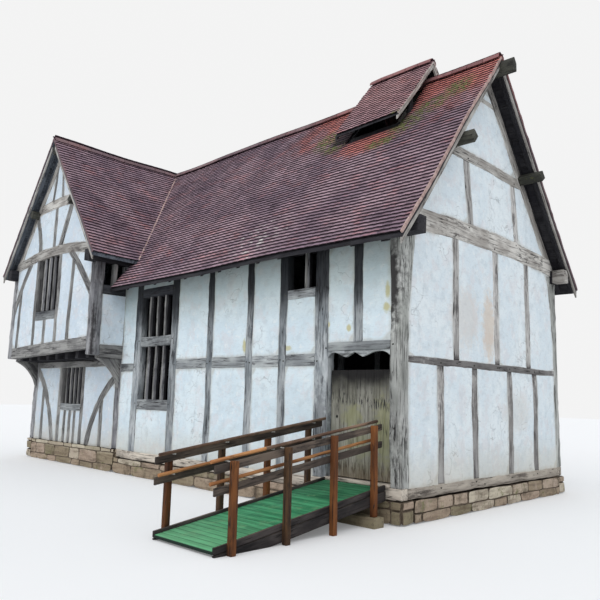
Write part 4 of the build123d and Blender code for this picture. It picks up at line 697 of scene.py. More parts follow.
# %% [markdown]
# ### Sandstone blocks
# The plinth is soft sandstone: brown, greenish, pink and pale blocks side by side. Each block
# keeps its own shade, stored on its faces when the wall is cut into blocks. The upper edge of
# the plinth is a pale ledge that the rain keeps clean.

# %% Sandstone finish
sandstone, shader, here = new_finish("sandstone", 0.9)
shade = own("shade")
pores = noise(here, 22, 6, 0.7)
beds = noise(stretched(here, 2, 2, 16), 1.0, 5, 0.6)
stains = noise(here, 3.1, 6, 0.7)
tint = mixed(ramp(shade, 0.0, 0.35), (138, 128, 104), (156, 140, 118))
tint = coat(tint, (176, 156, 138), ramp(shade, 0.35, 0.7))
tint = coat(tint, (202, 192, 172), ramp(shade, 0.7, 1.0))
tint = coat(tint, (104, 86, 72), ramp(beds, 0.45, 0.65), 0.5)
tint = coat(tint, (78, 68, 56), ramp(pores, 0.52, 0.7), 0.6)
tint = coat(tint, (84, 74, 58), ramp(stains, 0.5, 0.66), 0.6)
tint = coat(tint, (188, 170, 156), ramp(noise(here, 2.3, 5, 0.7), 0.54, 0.7), 0.5)
level = plus(put("SeparateXYZ", {0: here}).outputs["Z"], times(stains, 0.12))
tint = coat(tint, (204, 194, 172), ramp(level, 0.42, 0.5), 0.45)
growth = use_group(growth_group, Place=here, Amount=0.42)
tint = coat(tint, (106, 110, 66), growth["Mask"], 0.65)
plug(shader, {"Base Color": tint})
raise_up(shader, plus(pores, times(beds, 0.6)), 0.012)
print("finish", sandstone.name)

# %% [markdown]
# ### The planks of the door
# The door stands back under its head, so its top is painted dark with that shade. Below that the
# oak is a warm grey. Two bands of short black dashes cross it, where old rails and nails stained
# the wood, and algae tint the middle and the hinge side.

# %% Marks on the door
DOOR_ALGAE = [
    ((-1.0, 0.1, 1.5), (0.26, 1, 0.24), 0.4), ((-0.36, 0.1, 1.3), (0.26, 1, 0.7), 0.4),
    ((-0.85, 0.1, 1.1), (0.4, 1, 0.3), 0.25)]
DOOR_DASHES = [(1.66, 0.13, 0.9), (0.62, 0.18, 0.8)]


def dashed(tint, here, axes):
    """Bands of black dashes, each given by its level, half its height and its strength."""
    dashes = ramp(noise(stretched(here, 42, 1, 5), 1.0, 3, 0.6), 0.52, 0.6)
    slanted = plus(axes["Z"], times(axes["X"], 0.11))
    for level, half, strength in DOOR_DASHES:
        off = calc("ABSOLUTE", less(slanted, level))
        near = less(1.0, ramp(off, half * 0.4, half))
        tint = coat(tint, (34, 34, 36), times(near, dashes), strength)
    return tint


print("bands of dashes:", len(DOOR_DASHES))

# %% [markdown]
# The rest follows the same way, coat by coat. A narrow strip along the latch side is in deep
# shadow, and one large knot sits beside it.

# %% Door finish
door_oak, shader, here = new_finish("door_oak", 0.85)
grain = use_group(grain_group, Place=own("along", "Vector"))
axes = put("SeparateXYZ", {0: here}).outputs
tint = mixed(ramp(grain["Patches"], 0.36, 0.64), (134, 132, 120), (158, 156, 146))
tint = coat(tint, (84, 80, 72), ramp(grain["Streaks"], 0.48, 0.66), 0.8)
for middle, size, strength in DOOR_ALGAE:
    tint = coat(tint, (156, 156, 100), patch_at(here, middle, size, 0.9), strength)
tint = dashed(tint, here, axes)
foot = less(1.0, ramp(axes["Z"], 0.58, 0.95))
tint = coat(tint, (112, 92, 66), foot, 0.5)
tint = coat(tint, (16, 15, 15), patch_at(here, (-1.31, 0.1, 1.49), (0.03, 1, 0.035), 0.2))
ragged = plus(axes["X"], times(noise(here, 8, 4), 0.16))
tint = coat(tint, (22, 21, 22), less(1.0, ramp(ragged, -1.385, -1.34)))
tint = coat(tint, (34, 31, 28), own("edge"))
tint = coat(tint, (36, 33, 30), grain["Splits"], 0.8)
# Painted shade at the top, where the door stands back under its head.
painted_shade = use_group(eaves_shade_group, Place=here, Top=2.32, Reach=0.48)
tint = coat(tint, (18, 16, 18), painted_shade["Mask"], 0.97)
plug(shader, {"Base Color": tint})
raise_up(shader, less(times(grain["Streaks"], 0.5), grain["Splits"]), 0.006)
print("finish", door_oak.name)

# %% [markdown]
# ### The green coating of the deck
# The ramp's boards are painted with a green anti slip coating. It is scuffed by feet, dark in
# the joints between the boards, darkened near the door with painted shade, and paler towards the
# ramp's foot.

# %% Deck finish
deck_green, shader, here = new_finish("deck_green", 0.75)
scuffs = noise(here, 5, 6, 0.7)
far_in = put("SeparateXYZ", {0: here}).outputs["Y"]
bands = noise(stretched(here, 1.2, 14, 1), 1.0, 5, 0.6)
tint = mixed(ramp(bands, 0.38, 0.62), (42, 122, 80), (78, 166, 116))
tint = coat(tint, (118, 164, 118), ramp(scuffs, 0.52, 0.7), 0.6)
tint = coat(tint, (34, 92, 66), ramp(noise(here, 2.2, 4), 0.5, 0.7), 0.5)
tint = coat(tint, (134, 194, 146), ramp(far_in, -1.8, -3.1), 0.4)
# Painted shade near the door.
tint = coat(tint, (34, 70, 48), ramp(far_in, -1.3, -0.5), 0.5)
tint = coat(tint, (16, 36, 28), own("edge"))
plug(shader, {"Base Color": tint})
raise_up(shader, plus(noise(here, 90, 3), scuffs), 0.003)
print("materials so far:", len(bpy.data.materials))

# %% [markdown]
# ## Hands for the modelling
# Blender's operators act on whatever is selected, so the first helper clears the selection and
# picks the piece in hand. The next two open a piece in edit mode, with the faces or the points
# selected that a test picks, and the last one closes it again.


# %% Picking and editing
def pick(*objs):
    bpy.ops.object.select_all(action="DESELECT")
    for obj in objs:
        obj.select_set(True)
    bpy.context.view_layer.objects.active = objs[0]


def edit(obj, faces=None):
    """Opens a piece in edit mode, all selected, or only the faces that a test picks."""
    pick(obj)
    bpy.ops.object.mode_set(mode="EDIT")
    bpy.ops.mesh.select_mode(type="FACE")
    bpy.ops.mesh.select_all(action="DESELECT" if faces else "SELECT")
    if faces:
        bpy.ops.object.mode_set(mode="OBJECT")
        for face in obj.data.polygons:
            face.select = bool(faces(face))
        bpy.ops.object.mode_set(mode="EDIT")


def edit_points(obj, points):
    """Opens a piece in edit mode, with only the points selected whose places pass a test."""
    pick(obj)
    bpy.ops.object.mode_set(mode="EDIT")
    bpy.ops.mesh.select_mode(type="VERT")
    bpy.ops.mesh.select_all(action="DESELECT")
    bpy.ops.object.mode_set(mode="OBJECT")
    for point in obj.data.vertices:
        point.select = bool(points(point.co))
    bpy.ops.object.mode_set(mode="EDIT")


def done():
    bpy.ops.object.mode_set(mode="OBJECT")


print("ready to edit")

# %% [markdown]
# A modifier is a recipe that Blender would repeat on the piece for ever. Here each one runs once
# and leaves a plain mesh. A piece's place and turn go into its mesh too, so that patterns which
# read the place on the object stay where they are.


# %% Modifiers and places
def modify(obj, kind, **settings):
    """Adds a modifier, sets it and applies it."""
    pick(obj)
    modifier = obj.modifiers.new(kind.lower(), kind)
    for label, value in settings.items():
        setattr(modifier, label, value)
    bpy.ops.object.modifier_apply(modifier=modifier.name)


def settle(obj):
    """Puts a piece's place and turn into its mesh."""
    pick(obj)
    bpy.ops.object.transform_apply(location=True, rotation=True, scale=True)


print("ready to modify")

# %% [markdown]
# Some steps measure a mesh or keep values on its points, where a finish finds them again.


# %% Measuring and marking
def points_of(mesh):
    """The places of all points of a mesh, one in each row."""
    points = np.empty(len(mesh.vertices) * 3)
    mesh.vertices.foreach_get("co", points)
    return points.reshape(-1, 3)


def reach(obj):
    """The lowest and highest corner of a mesh."""
    points = points_of(obj.data)
    return points.min(0), points.max(0)


def store(mesh, name, values):
    """Keeps a number on each point of a mesh, for a finish to read."""
    mesh.attributes.new(name, "FLOAT", "POINT").data.foreach_set("value", values)


print("ready to measure")

# %% [markdown]
# A long straight piece has points only at its ends, so it can't bend. Flat cuts across it give
# it some more. They are made along the axes that are asked for, evenly over the whole piece.


# %% Cutting to short lengths
def chop(obj, spacing, axes="xyz"):
    low, high = reach(obj)
    edit(obj)
    for axis in axes:
        side = "xyz".index(axis)
        cuts = int((high[side] - low[side]) / spacing)
        for step in range(cuts):
            point, normal = [0, 0, 0], [0, 0, 0]
            point[side] = low[side] + (high[side] - low[side]) * (step + 1) / (cuts + 1)
            normal[side] = 1
            bpy.ops.mesh.select_all(action="SELECT")
            bpy.ops.mesh.bisect(plane_co=point, plane_no=normal)
    done()


print("ready to cut")

# %% [markdown]
# A finished piece gets its name, its finish and soft shading, and is hung on the body that it
# moves with. Some pieces then get a second finish on the faces that a test picks.


# %% Handing a piece over
def hand_over(obj, name, materials, replaced=(), body="house", smooth=35):
    """Names a finished piece and hangs it on its body."""
    obj.name = name
    obj.data.name = name
    if materials:
        obj.data.materials.clear()
        for material in materials:
            obj.data.materials.append(material)
    pick(obj)
    bpy.ops.object.shade_smooth_by_angle(angle=math.radians(smooth))
    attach(obj, body)
    if replaced:
        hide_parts(*replaced)
    print(name, len(obj.data.polygons), "faces")


def refinish(obj, finish, faces):
    """Gives another finish to the faces that a test picks."""
    obj.data.materials.append(finish)
    for face in obj.data.polygons:
        if faces(face):
            face.material_index = len(obj.data.materials) - 1


print("ready to hand over")

# %% [markdown]
# ## The lines of the frame
# The walls, the ridges, the eaves and the valleys are lines that many pieces share, so they are
# written down once, in metres. A rise is how far a roof climbs in one metre.

# %% Walls and roofs
FRONT_Y, JETTY_Y, REAR_Y, WING_REAR_Y = 0.02, -0.78, 5.58, 6.03
GABLE_X, CORNER_X, WING_SIDE_X, UPPER_FLOOR_Z = -0.02, -7.9, -12.46, 2.6
RIDGE_Z, MID_Y, WING_MID = 8.250, 2.800, -10.180
HALL_RISE, WING_RISE = 1.2647, 1.3333
HALL_PITCH, WING_PITCH = math.atan(HALL_RISE), math.atan(WING_RISE)
HALL_RUN, WING_RUN = 3.200, 2.490
HALL_EAVE_Z, WING_EAVE_Z = 4.203, 4.930
HALL_VERGE, WING_FRONT, WING_REAR = 0.300, -1.030, 6.280
WING_RIGHT, VALLEY_X, VALLEY_REACH = -7.880, -7.690, 2.625
print("pitches", round(math.degrees(HALL_PITCH)), "and", round(math.degrees(WING_PITCH)), "degrees")

# %% [markdown]
# ## Nothing in an old house is straight
# Green oak bends and twists as it dries. If each timber were bent by itself, gaps would open at
# the panels. So one warp is used for the whole house: a cloud texture whose red, green and blue
# move each point along x, y and z. A stud and the panel beside it read the same place in the
# cloud and go the same way. A second, finer cloud roughens the arrises.


# %% The warp
def cloud(name, size, depth, coloured=True):
    texture = bpy.data.textures.new(name, "CLOUDS")
    texture.noise_scale = size
    texture.noise_depth = depth
    texture.cloud_type = "COLOR" if coloured else "GRAYSCALE"
    return texture


bend_cloud = cloud("bend", 1.1, 1)
ragged_cloud = cloud("ragged", 0.16, 2)


def warp(obj, bend=0.03, ragged=0.012):
    for texture, strength in ((bend_cloud, bend), (ragged_cloud, ragged)):
        if strength:
            modify(obj, "DISPLACE", texture=texture, strength=strength, mid_level=0.5,
                   direction="RGB_TO_XYZ", texture_coords="LOCAL")


print("clouds of", bend_cloud.noise_scale, "and", ragged_cloud.noise_scale, "m")

# %% [markdown]
# ## Starting from a solid
# Each piece of the house is there as a solid, so a worn timber or a panel starts as a copy of
# it. The solid comes as loose triangles. Merging their corners and dissolving the lines across
# flat faces gives one clean skin.


# %% Copy a solid
def start_from(node):
    pick(frame["nodes"][node])
    bpy.ops.object.duplicate()
    copy = bpy.context.active_object
    bpy.ops.object.parent_clear(type="CLEAR_KEEP_TRANSFORM")
    edit(copy)
    bpy.ops.mesh.customdata_custom_splitnormals_clear()
    bpy.ops.mesh.remove_doubles(threshold=0.0002)
    bpy.ops.mesh.dissolve_limited(angle_limit=0.02)
    done()
    return copy


print("ready to copy solids")

# %% [markdown]
# ## Telling the grain which way to run
# Each timber is one island of joined points. To find the islands, every point starts with its
# own number, and along each edge the lower number spreads, until nothing changes any more.


# %% Islands of points
def islands_of(mesh):
    """The number of the island that each point belongs to."""
    ends = np.empty(len(mesh.edges) * 2, dtype=int)
    mesh.edges.foreach_get("vertices", ends)
    ends = ends.reshape(-1, 2)
    island = np.arange(len(mesh.vertices))
    while True:
        lowest = island[ends].min(1)
        before = island.copy()
        np.minimum.at(island, ends[:, 0], lowest)
        np.minimum.at(island, ends[:, 1], lowest)
        island = island[island]
        if (island == before).all():
            return island


print("ready to find islands")

# %% [markdown]
# The direction in which an island is longest is the way its grain runs. The place along and
# across that direction is stored on the points, with a random shift and tone for each timber,
# so that no two are alike. The box of each timber is kept for the pegs.


# %% Grain directions
def mark_grain(obj, seed=1):
    mesh = obj.data
    points = points_of(mesh)
    island = islands_of(mesh)
    along = np.zeros_like(points)
    tone = np.zeros(len(points))
    boxes = []
    chance = np.random.default_rng(seed)
    for label in np.unique(island):
        one = island == label
        boxes.append((points[one].min(0), points[one].max(0)))
        centred = points[one] - points[one].mean(0)
        axes = np.linalg.svd(centred, full_matrices=False)[2]
        along[one] = centred @ axes.T + chance.uniform(-40, 40, 3)
        tone[one] = chance.uniform()
    places = mesh.attributes.new("along", "FLOAT_VECTOR", "POINT")
    places.data.foreach_set("vector", along.ravel())
    store(mesh, "tone", tone)
    return boxes


print("ready to mark the grain")

# %% [markdown]
# The arrises of a timber hold dirt and split off first. A narrow bevel gives each arris points of
# its own, and these get the value named edge: 1 where the skin turns sharply, 0 on the flats.


# %% Marking the arrises
def mark_edges(obj):
    mesh = obj.data
    normals = [np.array(point.normal) for point in mesh.vertices]
    edge = np.zeros(len(mesh.vertices))
    for face in mesh.polygons:
        flat = np.array(face.normal)
        for index in face.vertices:
            if normals[index] @ flat < 0.9:
                edge[index] = 1
    store(mesh, "edge", edge)


print("ready to mark the arrises")

# %% [markdown]
# ## The timber frame
# Every group of timbers starts from its solids. The arrises are worn round by a bevel, then the
# lengths are cut and warped. Studs and posts are cut across their height only, rails across
# their run, and the plates and beams that lie both ways are cut both ways.

# %% Timbers
timber_boxes = {}


def make_timbers(node, finish, axes, spacing=0.25, worn=0.012, bend=0.03, ragged=0.014,
                 body="house"):
    """worn is the width of the bevel, bend and ragged the strengths of the two clouds."""
    timber = start_from(node)
    modify(timber, "BEVEL", width=worn, segments=2, limit_method="ANGLE", angle_limit=0.6)
    chop(timber, spacing, axes)
    mark_edges(timber)
    warp(timber, bend, ragged)
    timber_boxes[node] = mark_grain(timber)
    hand_over(timber, node + "_worn", [finish], [node], body)
    return timber


# The wall plates lie in the dark under the eaves, so their finish is the one of soot and painted shade.
for node, finish, axes in (
        ("front_rails", rail_oak, "x"), ("wall_plates", soot_and_shade_oak, "xy"), ("purlins", dark_oak, "xy"),
        ("principal_rafters", pale_oak, "z"), ("rear_studs", front_oak, "z"),
        ("wing_front_studs", wing_oak, "z"), ("wing_braces", wing_oak, "z"),
        ("wing_side_and_rear_studs", wing_oak, "z"), ("jetty_brackets", wing_oak, "z"),
        ("wing_floor_beams", wing_oak, "xy"), ("wing_cross_beams", wing_oak, "xy"),
        ("sill_beams", foot_oak, "xy")):
    make_timbers(node, finish, axes)

# %% [markdown]
# ### The timbers that show most
# The studs of the front, the corner posts and the timbers of the gable are the ones that the eye
# rests on. They are cut shorter and roughened more. The wall plate's end shows pale under the
# verge, the wing's posts are old and dark, and the gable's lowest rail is bleached.

# %% Front, corners and gable
make_timbers("front_posts_and_studs", front_oak, "z", 0.12, 0.016, ragged=0.026)
refinish(bpy.data.objects["wall_plates_worn"], pale_oak,
         lambda face: face.center.x > 0.02 and face.center.y > 5)
corners = make_timbers("corner_posts", corner_oak, "z", 0.12, 0.018, ragged=0.03)
refinish(corners, old_oak, lambda face: face.center.x < -7)
for node, axes, oak in (("tie_and_collar_beams", "xy", pale_oak),
                        ("gable_and_rear_rails", "xy", gable_oak), ("gable_studs", "z", gable_oak)):
    timber = make_timbers(node, oak, axes, 0.14, 0.02, ragged=0.028)
    refinish(timber, foot_oak, lambda face: face.center.z < 0.6 and node != "gable_studs")

# %% [markdown]
# The floor beams of the wing meet the light only with their front and end faces. What looks down,
# and the joists that run back under the jetty, stay in the dark, and a near black finish paints
# that shade on them.


# %% Dark undersides of the jetty
def in_the_dark(face):
    behind_the_front = face.center.y > -0.62 and -12.2 < face.center.x < -8.1
    return face.normal.z < -0.5 or behind_the_front


refinish(bpy.data.objects["wing_floor_beams_worn"], soot_and_shade_oak, in_the_dark)
print("undersides darkened")

# %% [markdown]
# ### Window bars
# The bars are pale in front, where the weather reaches. Their sides are painted with the shade of
# the window: pale grey for the first few centimetres and brown black behind that, so a flat cut
# parts the sides there. The bars of the hall and of the wing's lower window stand in one plane,
# and the wing's upper ones in the jetty's.

# %% Window bars
SHADE_DEPTH = 0.055
bars = make_timbers("window_mullions", wing_oak, "z", worn=0.004, bend=0.03, ragged=0.006)
for front in (FRONT_Y, JETTY_Y):
    edit(bars)
    bpy.ops.mesh.bisect(plane_co=(0, front + SHADE_DEPTH, 0), plane_no=(0, 1, 0))
    done()


def depth_on_side(face):
    """How far back a side of a bar lies, and nothing for its front and back."""
    front = JETTY_Y if face.center.y < -0.4 else FRONT_Y
    return face.center.y - front if abs(face.normal.y) < 0.5 else None


depths = [depth_on_side(face) for face in bars.data.polygons]
# Painted shade on the sides: grey near the front, near black deeper in.
refinish(bars, shaded_bar_side_oak,
         lambda face: depths[face.index] is not None and depths[face.index] < SHADE_DEPTH)
refinish(bars, soot_and_shade_oak,
         lambda face: depths[face.index] is not None and depths[face.index] >= SHADE_DEPTH)
print("sides of bars:", len(depths) - depths.count(None))

# %% [markdown]
# ### Pegs
# Oak frames are held by oak pegs. Each joint has been bored and pinned, and the pegs stand a
# little proud. One is modelled, with a chamfered end. Copies go into the posts at both ends of
# each front rail, and into the rails at the head and foot of each gable stud.

# %% Model one peg
bpy.ops.mesh.primitive_cylinder_add(vertices=8, radius=0.014, depth=0.06)
first_peg = bpy.context.active_object
modify(first_peg, "BEVEL", width=0.004, segments=1, limit_method="ANGLE")


def peg_at(place, turn, chance):
    pick(first_peg)
    bpy.ops.object.duplicate()
    copy = bpy.context.active_object
    lean, twist = chance.uniform(-0.1, 0.1), chance.uniform(-0.1, 0.1)
    copy.rotation_euler = (math.pi / 2 + lean, 0, turn + twist)
    copy.location = place
    return copy


print("one peg", len(first_peg.data.polygons), "faces")

# %% [markdown]
# The pegs are joined into one piece, which bends with the same cloud as the timbers.

# %% Drive the pegs
PROUD = 0.018
chance = random.Random(8)
pegs = []
for low, high in timber_boxes["front_rails"]:
    if high[1] < 0.3 and low[1] > -0.1 and high[0] - low[0] > 0.4:
        level = (low[2] + high[2]) / 2
        for spot in (low[0] - 0.05, high[0] + 0.05):
            pegs.append(peg_at((spot, PROUD, level + chance.uniform(-0.03, 0.03)), 0, chance))
for low, high in timber_boxes["gable_studs"]:
    if high[0] > -0.1:
        across = (low[1] + high[1]) / 2 + chance.uniform(-0.02, 0.02)
        for level in (low[2] - 0.06, high[2] + 0.05):
            pegs.append(peg_at((-PROUD, across, level), math.pi / 2, chance))
pick(*pegs)
bpy.ops.object.join()
all_pegs = bpy.context.active_object
settle(all_pegs)
warp(all_pegs, 0.03, 0)
mark_grain(all_pegs, 6)
hand_over(all_pegs, "oak_pegs", [dark_oak])
pick(first_peg)
bpy.ops.object.delete()

# %% [markdown]
# ## The wall panels
# A panel starts as the solid too. It is first swollen a little on all sides, so that it goes in
# behind the arrises of the timbers, and then cut into a grid as fine as a hand's breadth, so
# that the daub can belly in and out. The points at its edges get the value named rim.


# %% Rims of the panels
def mark_rim(mesh):
    """1 on the points where faces meet that look different ways."""
    rim = np.zeros(len(mesh.vertices))
    wall_way = np.zeros(len(mesh.vertices), dtype=int)
    for face in mesh.polygons:
        normal = [abs(part) for part in face.normal]
        side = normal.index(max(normal)) + 1
        for index in face.vertices:
            if wall_way[index] and wall_way[index] != side:
                rim[index] = 1
            wall_way[index] = side
    store(mesh, "rim", rim)


def is_inside(place):
    """True for a place within the walls of the hall or of the wing's lower or upper storey."""
    in_hall = CORNER_X < place.x < GABLE_X and FRONT_Y < place.y < REAR_Y
    front = FRONT_Y if place.z < UPPER_FLOOR_Z else JETTY_Y
    return in_hall or (WING_SIDE_X < place.x < CORNER_X and front < place.y < WING_REAR_Y)


print("ready for panels")

# %% [markdown]
# The sides of a panel that look into the house are painted near black: the shade of the dark
# inside, with soot from the open hearth. Which ones these are is asked before the daub swells,
# while the panels are still flat.

# %% Panels
swell_cloud = cloud("swell", 0.45, 2, False)


def make_panels(node, wash):
    panel = start_from(node)
    modify(panel, "DISPLACE", strength=0.014, mid_level=0, direction="NORMAL")
    low, high = reach(panel)
    chop(panel, 0.17, [axis for axis, wide in zip("xyz", high - low) if wide > 0.3])
    mark_rim(panel.data)
    inward = {face.index for face in panel.data.polygons if is_inside(face.center + face.normal * 0.3)}
    modify(panel, "DISPLACE", texture=swell_cloud, strength=0.03, mid_level=0.5, direction="NORMAL",
           texture_coords="LOCAL")
    warp(panel, 0.03, 0.006)
    hand_over(panel, node + "_daubed", [wash], [node], smooth=60)
    # Painted shade and soot on the inner sides.
    refinish(panel, soot_and_shade, lambda face: face.index in inward)


for node, wash in (("front_panels", front_wash), ("gable_panels", gable_wash),
                   ("rear_panels", front_wash), ("wing_front_panels", wing_wash),
                   ("wing_side_and_rear_panels", wing_wash)):
    make_panels(node, wash)

# %% [markdown]
# ### The bowed beams of the wing's gable
# The tie and the collar of the wing were sawn from crooked trees, and rise to their middles. The
# whole gable between the rafters rises with them, and nothing moves at the rafters themselves.
# The heights below are the foot of the bow, the tie, the collar and the peak, with their rises.

# %% Bow the wing's gable
BOW_HEIGHTS, BOW_RISES = (3.7, 4.7, 5.2, 6.4, 7.6), (0, 0.14, 0.14, 0.07, 0)


def bow(obj):
    mesh = obj.data
    points = points_of(mesh)
    half_width = np.clip((RIDGE_Z - points[:, 2]) / WING_RISE, 0.2, 2.3)
    across = np.clip(1 - ((points[:, 0] - WING_MID) / half_width) ** 2, 0, 1)
    rise = np.interp(points[:, 2], BOW_HEIGHTS, BOW_RISES)
    points[:, 2] += np.where(points[:, 1] < -0.6, across * rise, 0)
    mesh.vertices.foreach_set("co", points.ravel())
    mesh.update()


for name in ("tie_and_collar_beams_worn", "wing_front_studs_worn", "wing_braces_worn",
             "wing_cross_beams_worn", "wing_front_panels_daubed", "window_mullions_worn"):
    bow(bpy.data.objects[name])
print("gable bowed")

# %% [markdown]
# ## The roof
# Under the tiles lie boards and rafters, which show at the eaves and under the verges. The
# solids of the slopes stand for them. They are lowered by the thickness of the tiles and sag
# with the same soft cloud that the tiles follow.

# %% Roof boards
TILES_THICK = 0.045
sag_cloud = cloud("sag", 2.2, 0, False)


def sag(obj):
    modify(obj, "DISPLACE", texture=sag_cloud, strength=0.09, mid_level=0.5, direction="Z",
           texture_coords="LOCAL")


for node in ("hall_roof_front", "hall_roof_rear", "wing_roof_left", "wing_roof_right", "louvre_roof"):
    boards = start_from(node)
    edit(boards, lambda face: face.normal.z > 0.3)
    bpy.ops.transform.translate(value=(0, 0, -TILES_THICK))
    done()
    chop(boards, 0.5)
    sag(boards)
    mark_grain(boards)
    # The boards' finishes paint the shade under the roof: near black on the hall and the louvre, dark
    # grey on the wing.
    oak = soffit_oak if "wing" in node else soot_and_shade_oak
    hand_over(boards, node + "_boards", [oak], [node])

# %% [markdown]
# ### One tile
# A plain tile is a slab about 165 mm wide and a finger thick, a little arched across. Only its
# lowest 100 mm shows, so the hidden head is left short. It has few faces, because the roof
# takes thousands. The nose gets its own finish, painted dark with shade and soot, and the value
# named course counts from 0 at the nose to 1 where the next tile begins.

# %% Model one tile
GAUGE, TILE_WIDE, TILE_LONG, TILE_ARCH = 0.100, 0.168, 0.155, 0.005
bpy.ops.mesh.primitive_cube_add(size=1, location=(0, 0, 0))
tile = bpy.context.active_object
tile.scale = (TILE_WIDE - 0.005, TILE_LONG, 0.016)
settle(tile)
edit(tile)
bpy.ops.mesh.bisect(plane_co=(0, 0, 0), plane_no=(1, 0, 0))
done()
edit_points(tile, lambda place: abs(place.x) < 0.001)
bpy.ops.transform.translate(value=(0, 0, TILE_ARCH))
bpy.ops.mesh.select_all(action="SELECT")
bpy.ops.transform.translate(value=(0, TILE_LONG / 2, 0))
done()
tile.name = "one_tile"
tile.data.materials.append(clay_tile)
refinish(tile, tile_nose, lambda face: face.normal.y < -0.7)
store(tile.data, "course", [corner.co.y / GAUGE for corner in tile.data.vertices])
print("one tile", len(tile.data.polygons), "faces")

# %% [markdown]
# ### The laying machine
# A flat grid of points marks the nose of each tile. Geometry nodes put a copy of the tile on
# every point, turned to the slope with a small random lift and twist, and store a random shade on
# it. Realized, they are one plain mesh.

# %% The laying machine
layer = bpy.data.node_groups.new("lay_tiles", "GeometryNodeTree")
for label, kind in (("Points", "Geometry"), ("Tile", "Object"), ("Slope", "Vector"), ("Seed", "Int")):
    layer.interface.new_socket(name=label, in_out="INPUT", socket_type="NodeSocket" + kind)
layer.interface.new_socket(name="Tiles", in_out="OUTPUT", socket_type="NodeSocketGeometry")


def step(kind, sockets=None, **settings):
    """Adds a geometry node in the same way as put does for shaders."""
    node = layer.nodes.new(kind)
    for label, value in settings.items():
        setattr(node, label, value)
    plug(node, sockets or {})
    return node


LIFT_AND_TWIST = (0.022, 0.014, 0.014)
given = layer.nodes.new("NodeGroupInput").outputs
copied = step("GeometryNodeObjectInfo", {"Object": given["Tile"]}).outputs["Geometry"]
jitter = step("FunctionNodeRandomValue", data_type="FLOAT_VECTOR")
plug(jitter, {0: [-most for most in LIFT_AND_TWIST], 1: LIFT_AND_TWIST, "Seed": given["Seed"]})
turned = step("ShaderNodeVectorMath", {0: given["Slope"], 1: jitter.outputs[0]}, operation="ADD")
placed = step("GeometryNodeInstanceOnPoints",
              {"Points": given["Points"], "Instance": copied, "Rotation": turned.outputs[0]})
shade = step("FunctionNodeRandomValue", {"Seed": given["Seed"]}, data_type="FLOAT")
stored = step("GeometryNodeStoreNamedAttribute",
              {"Geometry": placed.outputs[0], "Name": "shade", "Value": shade.outputs[1]},
              data_type="FLOAT", domain="INSTANCE")
whole = step("GeometryNodeRealizeInstances", {"Geometry": stored.outputs[0]})
plug(layer.nodes.new("NodeGroupOutput"), {0: whole.outputs[0]})
print("laying machine has", len(layer.nodes), "nodes")

# %% [markdown]
# ### A slope of points
# A slope is given by the middle of its eave, its width, its length up the slope, its pitch and
# the way it faces. The grid is made a little wider than the slope and set off by half a tile,
# and points beyond a valley are taken away before the tiles are laid.


# %% Points for one slope
def slope_of_points(eave, width, length, pitch, turn, keep):
    columns, courses = int(width / TILE_WIDE) + 2, int(length / GAUGE) + 1
    bpy.ops.mesh.primitive_grid_add(x_subdivisions=columns - 1, y_subdivisions=courses - 1, size=1)
    slope = bpy.context.active_object
    slope.scale = ((columns - 1) * TILE_WIDE, (courses - 1) * GAUGE, 1)
    slope.location = (TILE_WIDE / 2, (courses - 1) * GAUGE / 2, 0)
    settle(slope)
    slope.rotation_euler = (pitch, 0, turn)
    slope.location = eave
    settle(slope)
    if keep:
        edit_points(slope, lambda place: not keep(place))
        bpy.ops.mesh.delete(type="VERT")
        done()
    return slope


print("ready for slopes")

# %% [markdown]
# The machine lays the tiles, tipped a little out of the slope because each rests on the one
# below. Flat cuts then trim the tiles that cross a valley or run past a verge. A cut works on
# all faces, or on those that its own test picks.

# %% Lay one slope
TIP = 0.14


def lay(name, eave, width, length, pitch, turn, keep=None, trims=(), seed=1):
    slope = slope_of_points(eave, width, length, pitch, turn, keep)
    modifier = slope.modifiers.new("lay", "NODES")
    modifier.node_group = layer
    modifier["Socket_1"] = tile
    modifier["Socket_2"] = (pitch - TIP, 0, turn)
    modifier["Socket_3"] = seed
    bpy.ops.object.modifier_apply(modifier=modifier.name)
    for chosen, point, normal in trims:
        edit(slope, chosen)
        bpy.ops.mesh.bisect(plane_co=point, plane_no=normal, clear_outer=True, use_fill=True)
        done()
    sag(slope)
    hand_over(slope, name, [])
    return slope


print("ready to lay tiles")

# %% [markdown]
# ### The hall's two slopes
# They end at the wing in valleys, which are straight lines in plan. No tiles lie where the smoke
# hole is. They stop short of its lower edge too, where the dark boards show and paint the shade
# under the louvre.

# %% Lay the hall
SMOKE_LEFT, SMOKE_RIGHT, SMOKE_REACH = -2.700, -1.340, 1.090
OVERHANG = 0.01
PER_REACH = (VALLEY_X - WING_MID) / VALLEY_REACH


def every_face(face):
    return True


def on_hall(place):
    back = abs(place.y - MID_Y)
    edge = WING_MID + back * PER_REACH if back < VALLEY_REACH else WING_RIGHT
    under_louvre = SMOKE_LEFT < place.x < SMOKE_RIGHT and back < SMOKE_REACH
    return place.x > edge - 0.05 and not under_louvre


for side, turn, word in ((-1, 0, "front"), (1, math.pi, "rear")):
    eave = ((HALL_VERGE + WING_MID) / 2, MID_Y + side * (HALL_RUN + OVERHANG), HALL_EAVE_Z)
    valley = Vector((-VALLEY_REACH, side * (VALLEY_X - WING_MID), 0)).normalized()
    lay("hall_tiles_" + word, eave, HALL_VERGE - WING_MID, HALL_RUN / math.cos(HALL_PITCH),
        HALL_PITCH, turn, on_hall,
        [(every_face, (HALL_VERGE + OVERHANG, 0, 0), (1, 0, 0)),
         (lambda face: abs(face.center.y - MID_Y) < VALLEY_REACH, (WING_MID, MID_Y, 0), valley)],
        seed=3 + side)

# %% [markdown]
# ### The wing's two slopes
# The left one is whole. The right one meets the hall's slopes, so a triangle between the valleys
# is left out, and each half is trimmed along its own valley.


# %% Lay the wing
def on_wing_right(place):
    return abs(place.y - MID_Y) > (place.x - WING_MID) / PER_REACH - 0.08


